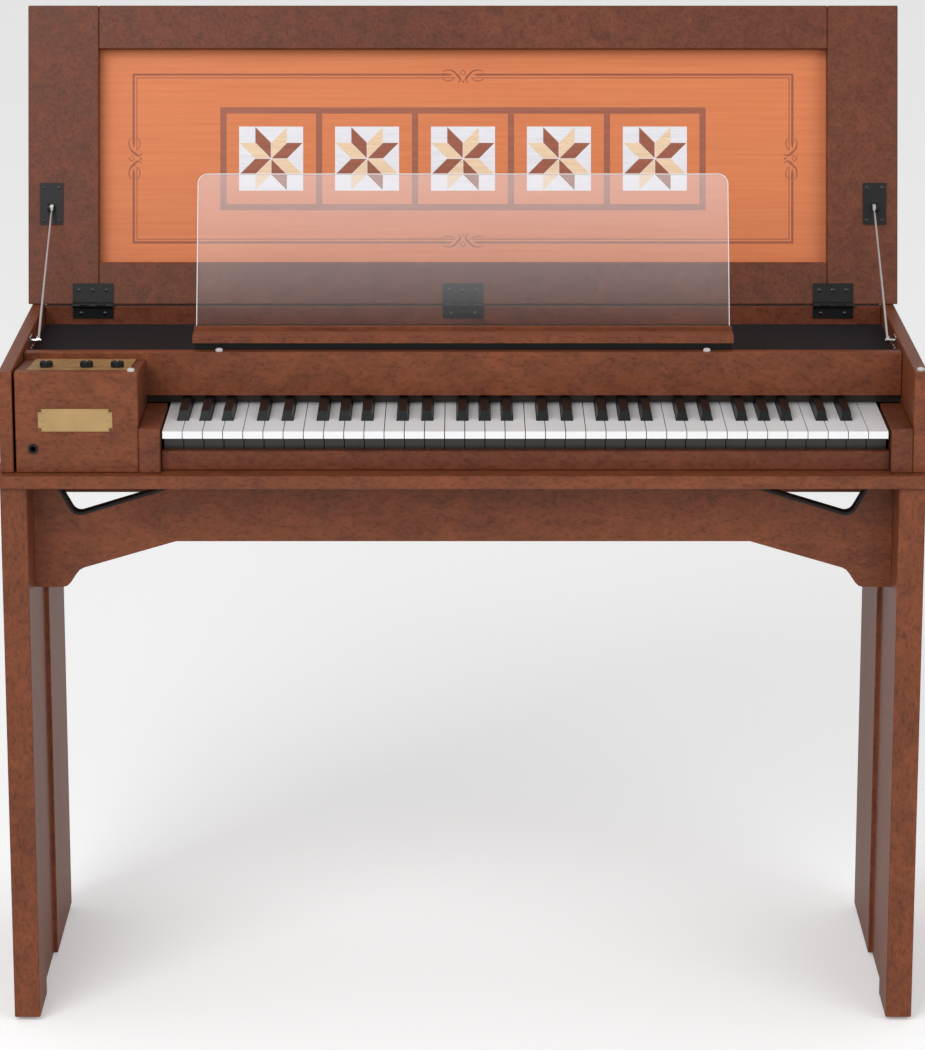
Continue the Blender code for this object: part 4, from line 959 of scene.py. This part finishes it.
@dataclass
class Lid:
    """Frame-and-panel lid with its inlay and hinges."""

    hinge_places: tuple[float, float, float] = (-0.463, 0.0, 0.463)
    leaf_face: float = 0.0020
    lid_screw_up: float = 0.0190
    lid_screw_out: float = 0.0170
    case_screw_down: float = 0.0112
    case_screw_out: float = 0.0150
    screw_radius: float = 0.0027
    screw_height: float = 0.0009

    def build(self, frame: dict, wood: bpy.types.Material, black: bpy.types.Material,
              steel: bpy.types.Material) -> None:
        """Dress the lid, lay its inlay and screw its hinges on.

        Args:
            wood: Veneer of the frame.
            black: Lacquered steel.
            steel: Screw steel.
        """
        dress(frame, wood, "lid_stile_left", "lid_stile_right", "lid_rail_bottom", "lid_rail_top")
        panel = PanelVeneer("panel_veneer", (0.70, 0.215, 0.080), (0.64, 0.180, 0.066),
                            (0.190, 0.050, 0.021), (0.115, 0.029, 0.013))
        dress(frame, panel.make(), "lid_panel")
        brown = StraightGrain("inlay_brown", (0.34, 0.090, 0.042), (0.26, 0.066, 0.032)).make()
        band = StraightGrain("inlay_band", (0.36, 0.105, 0.052), (0.29, 0.080, 0.040)).make()
        pale = StraightGrain("inlay_pale", (0.84, 0.63, 0.42), (0.80, 0.56, 0.34)).make()
        ground = StraightGrain("inlay_ground", (0.80, 0.79, 0.84), (0.75, 0.74, 0.80)).make()
        inlay = Inlay()
        inlay.stars(pale, brown, ground)
        inlay.bars(band)
        inlay.banding(brown)
        names = ("left", "middle", "right")
        dress(frame, black, *("hinge_lid_" + n for n in names), *("hinge_case_" + n for n in names))
        upper, lower = bmesh.new(), bmesh.new()
        case_face, case_height = HINGE_Y + self.leaf_face, HINGE_Z - self.case_screw_down
        for middle in self.hinge_places:
            three = [facing_player(middle + k * self.lid_screw_out, self.leaf_face, self.lid_screw_up)
                     for k in (-1, 0, 1)]
            two = [facing_player(middle + k * self.case_screw_out, case_face, case_height) for k in (-1, 1)]
            screw_heads(upper, three, self.screw_radius, self.screw_height)
            screw_heads(lower, two, self.screw_radius, self.screw_height)
        make_piece("hinge_screws_lid", upper, steel, "lid", lid_place(), smooth=True)
        make_piece("hinge_screws_case", lower, steel, "cabinet", smooth=True)


@dataclass
class Stays:
    """Plates, hooked rods and brackets that hold the lid up."""

    plate_x: float = 0.5149
    plate_face: float = 0.0015
    screw_out: float = 0.0095
    screw_heights: tuple[float, float] = (0.1065, 0.1475)
    bracket_x: float = 0.5217
    bracket_depth: float = 0.218
    bracket_height: float = 0.7835
    bracket_screw_out: float = 0.0075

    def build(self, frame: dict, nickel: bpy.types.Material, black: bpy.types.Material,
              steel: bpy.types.Material) -> None:
        """Dress the stays and add their screws.

        Args:
            nickel: Bright plating.
            black: Lacquered steel.
            steel: Screw steel.
        """
        dress(frame, black, "stay_plate_left", "stay_plate_right")
        dress(frame, nickel, "stay_rod_left", "stay_rod_right", "stay_bracket_left", "stay_bracket_right")
        plates, brackets = bmesh.new(), bmesh.new()
        for side in Side:
            x = side.value * self.plate_x
            four = [facing_player(x + k * self.screw_out, self.plate_face, up)
                    for k in (-1, 1) for up in self.screw_heights]
            screw_heads(plates, four, 0.0025, 0.0009)
            x = side.value * self.bracket_x
            inward = Matrix.Rotation(math.radians(-90.0 * side.value), 4, "Y")
            two = [Matrix.Translation((x, FRONT_EDGE + self.bracket_depth + k * self.bracket_screw_out,
                                       self.bracket_height)) @ inward for k in (-1, 1)]
            screw_heads(brackets, two, 0.0021, 0.0008)
        make_piece("stay_plate_screws", plates, steel, "lid", lid_place(), smooth=True)
        make_piece("stay_bracket_screws", brackets, nickel, "cabinet", smooth=True)


@dataclass
class MusicRest:
    """Black base, wooden ledge and clear plate with its bright rim."""

    half: float = 0.321
    height: float = 0.1965
    corner: float = 0.012
    thickness: float = 0.003
    foot_depth: float = 0.194076
    foot_height: float = 0.8051
    lean: float = math.radians(22.0)
    rim: float = 0.0009
    rim_foot: float = 0.010
    rim_proud: float = 0.00005

    def build(self, frame: dict, boards: bpy.types.Material, rim: bpy.types.Material) -> None:
        """Dress the rest and run the bright edge round its plate.

        Args:
            boards: Veneer along X.
            rim: Pale edge of the acrylic.
        """
        dress(frame, boards, "rest_ledge")
        lacquer = Moulded("base_lacquer", (0.008, 0.007, 0.007), 0.45, shine=0.25)
        dress(frame, lacquer.make(), "rest_base")
        low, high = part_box("rest_plate")
        # The plate's pale white cover is a painted reflection.
        dress(frame, ClearSheet("acrylic_sheet", low.z, high.z).make(), "rest_plate")
        path = [(self.half, self.rim_foot)]
        for step in range(9):
            angle = math.radians(90.0 * step / 8)
            path.append((self.half - self.corner + self.corner * math.cos(angle),
                         self.height - self.corner + self.corner * math.sin(angle)))
        path += [(-x, z) for x, z in reversed(path)]
        inset = self.rim / 2.0
        inner = []
        for x, z in path:
            drop = inset if z > self.rim_foot else 0.0
            inner.append((x - math.copysign(inset, x), z - drop))
        mesh_data = bmesh.new()
        for quad in band_path(inner, [self.rim] * len(inner)):
            prism(mesh_data, quad, -self.rim_proud, self.thickness + self.rim_proud)
        place = (Matrix.Translation((0.0, FRONT_EDGE + self.foot_depth, self.foot_height))
                 @ Matrix.Rotation(-self.lean, 4, "X"))
        make_piece("rest_plate_rim", mesh_data, rim, "cabinet", place)


@dataclass
class Studio:
    """Pale floor, soft lamps and the camera at the photograph's place."""

    camera_depth: float = -4.406148
    camera_height: float = 1.8221
    pitch: float = math.radians(13.42183)
    lens: float = 134.254
    shift_x: float = -0.00047
    shift_y: float = -0.12
    world: float = 0.60
    key: float = 100.0
    fill: float = 36.0

    def build(self) -> None:
        """Set the floor, the world, the lamps and the camera."""
        mesh_data = bmesh.new()
        bmesh.ops.create_grid(mesh_data, x_segments=2, y_segments=2, size=30.0)
        mesh = bpy.data.meshes.new("floor")
        mesh_data.to_mesh(mesh)
        mesh_data.free()
        floor = bpy.data.objects.new("floor", mesh)
        bpy.context.scene.collection.objects.link(floor)
        floor.location = (0.0, 0.0, -0.0004)
        mesh.materials.append(self.pale("floor_pale"))
        self.sky()
        self.lamp("key_lamp", (-1.9, -3.4, 3.3), (0.0, 0.0, 0.75), 2.6, self.key)
        self.lamp("fill_lamp", (2.6, -3.0, 2.2), (0.0, 0.0, 0.65), 2.6, self.fill)
        data = bpy.data.cameras.new("camera")
        data.sensor_width = 36.0
        data.lens = self.lens
        data.shift_x = self.shift_x
        data.shift_y = self.shift_y
        data.clip_end = 100.0
        camera = bpy.data.objects.new("camera", data)
        bpy.context.scene.collection.objects.link(camera)
        camera.location = (0.0, FRONT_EDGE + self.camera_depth, self.camera_height)
        camera.rotation_euler = (math.radians(90.0) - self.pitch, 0.0, 0.0)
        bpy.context.scene.camera = camera
        bpy.context.scene.view_settings.view_transform = "Standard"

    def pale(self, name: str) -> bpy.types.Material:
        """Return the floor's white, which keeps the object's shadow.

        Args:
            name: The material's name.

        Returns:
            The material.
        """
        recipe = Recipe(name)
        recipe.shader.inputs["Base Color"].default_value = (0.90, 0.90, 0.90, 1.0)
        recipe.shader.inputs["Roughness"].default_value = 0.9
        rays = recipe.add("ShaderNodeLightPath")
        glow = recipe.add("ShaderNodeMath", operation="MULTIPLY")
        glow.inputs[1].default_value = 0.22
        recipe.link(rays.outputs["Is Camera Ray"], glow.inputs[0])
        recipe.link(glow.outputs["Value"], recipe.shader.inputs["Emission Strength"])
        recipe.shader.inputs["Emission Color"].default_value = (1.0, 1.0, 1.0, 1.0)
        return recipe.material

    def sky(self) -> None:
        """Light the object softly and show plain white behind it."""
        world = bpy.data.worlds.new("studio")
        world.use_nodes = True
        tree = world.node_tree
        back = tree.nodes["Background"]
        back.inputs["Color"].default_value = (1.0, 1.0, 1.0, 1.0)
        rays = tree.nodes.new("ShaderNodeLightPath")
        reach = tree.nodes.new("ShaderNodeMath")
        reach.operation = "MAXIMUM"
        tree.links.new(rays.outputs["Is Camera Ray"], reach.inputs[0])
        tree.links.new(rays.outputs["Is Transmission Ray"], reach.inputs[1])
        level = tree.nodes.new("ShaderNodeMapRange")
        level.inputs["To Min"].default_value = self.world
        level.inputs["To Max"].default_value = 1.0
        tree.links.new(reach.outputs["Value"], level.inputs["Value"])
        tree.links.new(level.outputs["Result"], back.inputs["Strength"])
        bpy.context.scene.world = world

    def lamp(self, name: str, place: tuple[float, float, float], target: tuple[float, float, float],
             size: float, power: float) -> None:
        """Hang a soft square lamp.

        Args:
            name: The lamp's name.
            place: Where it hangs.
            target: Where it points.
            size: Side of its face.
            power: Its power in watts.
        """
        data = bpy.data.lights.new(name, "AREA")
        data.size = size
        data.energy = power
        lamp = bpy.data.objects.new(name, data)
        bpy.context.scene.collection.objects.link(lamp)
        lamp.location = place
        lamp.rotation_euler = (Vector(target) - Vector(place)).to_track_quat("-Z", "Y").to_euler()


def main() -> None:
    """Load the frame and dress it sub-assembly by sub-assembly."""
    logging.basicConfig(level=logging.INFO, format="%(message)s")
    for old in list(bpy.data.objects):
        bpy.data.objects.remove(old, do_unlink=True)
    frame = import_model()
    woods = Woods()
    boards, posts, inside = woods.boards(), woods.posts(), woods.inside()
    black = Moulded("black_plastic", (0.009, 0.009, 0.0095), 0.40, shine=0.25).make()
    lacquer = Moulded("black_lacquered_steel", (0.008, 0.008, 0.009), 0.36, shine=0.28).make()
    screw = Moulded("screw_steel", (0.05, 0.05, 0.052), 0.30, metal=0.9).make()
    nickel = Moulded("nickel_plate", (0.66, 0.65, 0.64), 0.20, metal=1.0).make()
    brass = Moulded("satin_brass", (0.50, 0.33, 0.15), 0.34, metal=0.85, texture=500.0).make()
    grey = Moulded("grey_sheet", (0.36, 0.36, 0.37), 0.42, metal=0.7).make()
    clear = Moulded("clear_rubber", (0.80, 0.80, 0.79), 0.25, vary=0.03, cover=0.6).make()
    rim = Moulded("acrylic_edge", (0.86, 0.87, 0.89), 0.30, vary=0.03, cover=0.75).make()
    Stand().build(frame, boards, posts, black)
    Case().build(frame, boards, inside, clear)
    ControlBox().build(frame, boards, inside, black, brass)
    Keyboard().build(frame, grey)
    dress(frame, grey, "power_supply")
    dress(frame, lacquer, "speaker_panel")
    Lid().build(frame, woods.lid(), lacquer, screw)
    Stays().build(frame, nickel, lacquer, screw)
    MusicRest().build(frame, boards, rim)
    Studio().build()


if __name__ == "__main__":
    main()
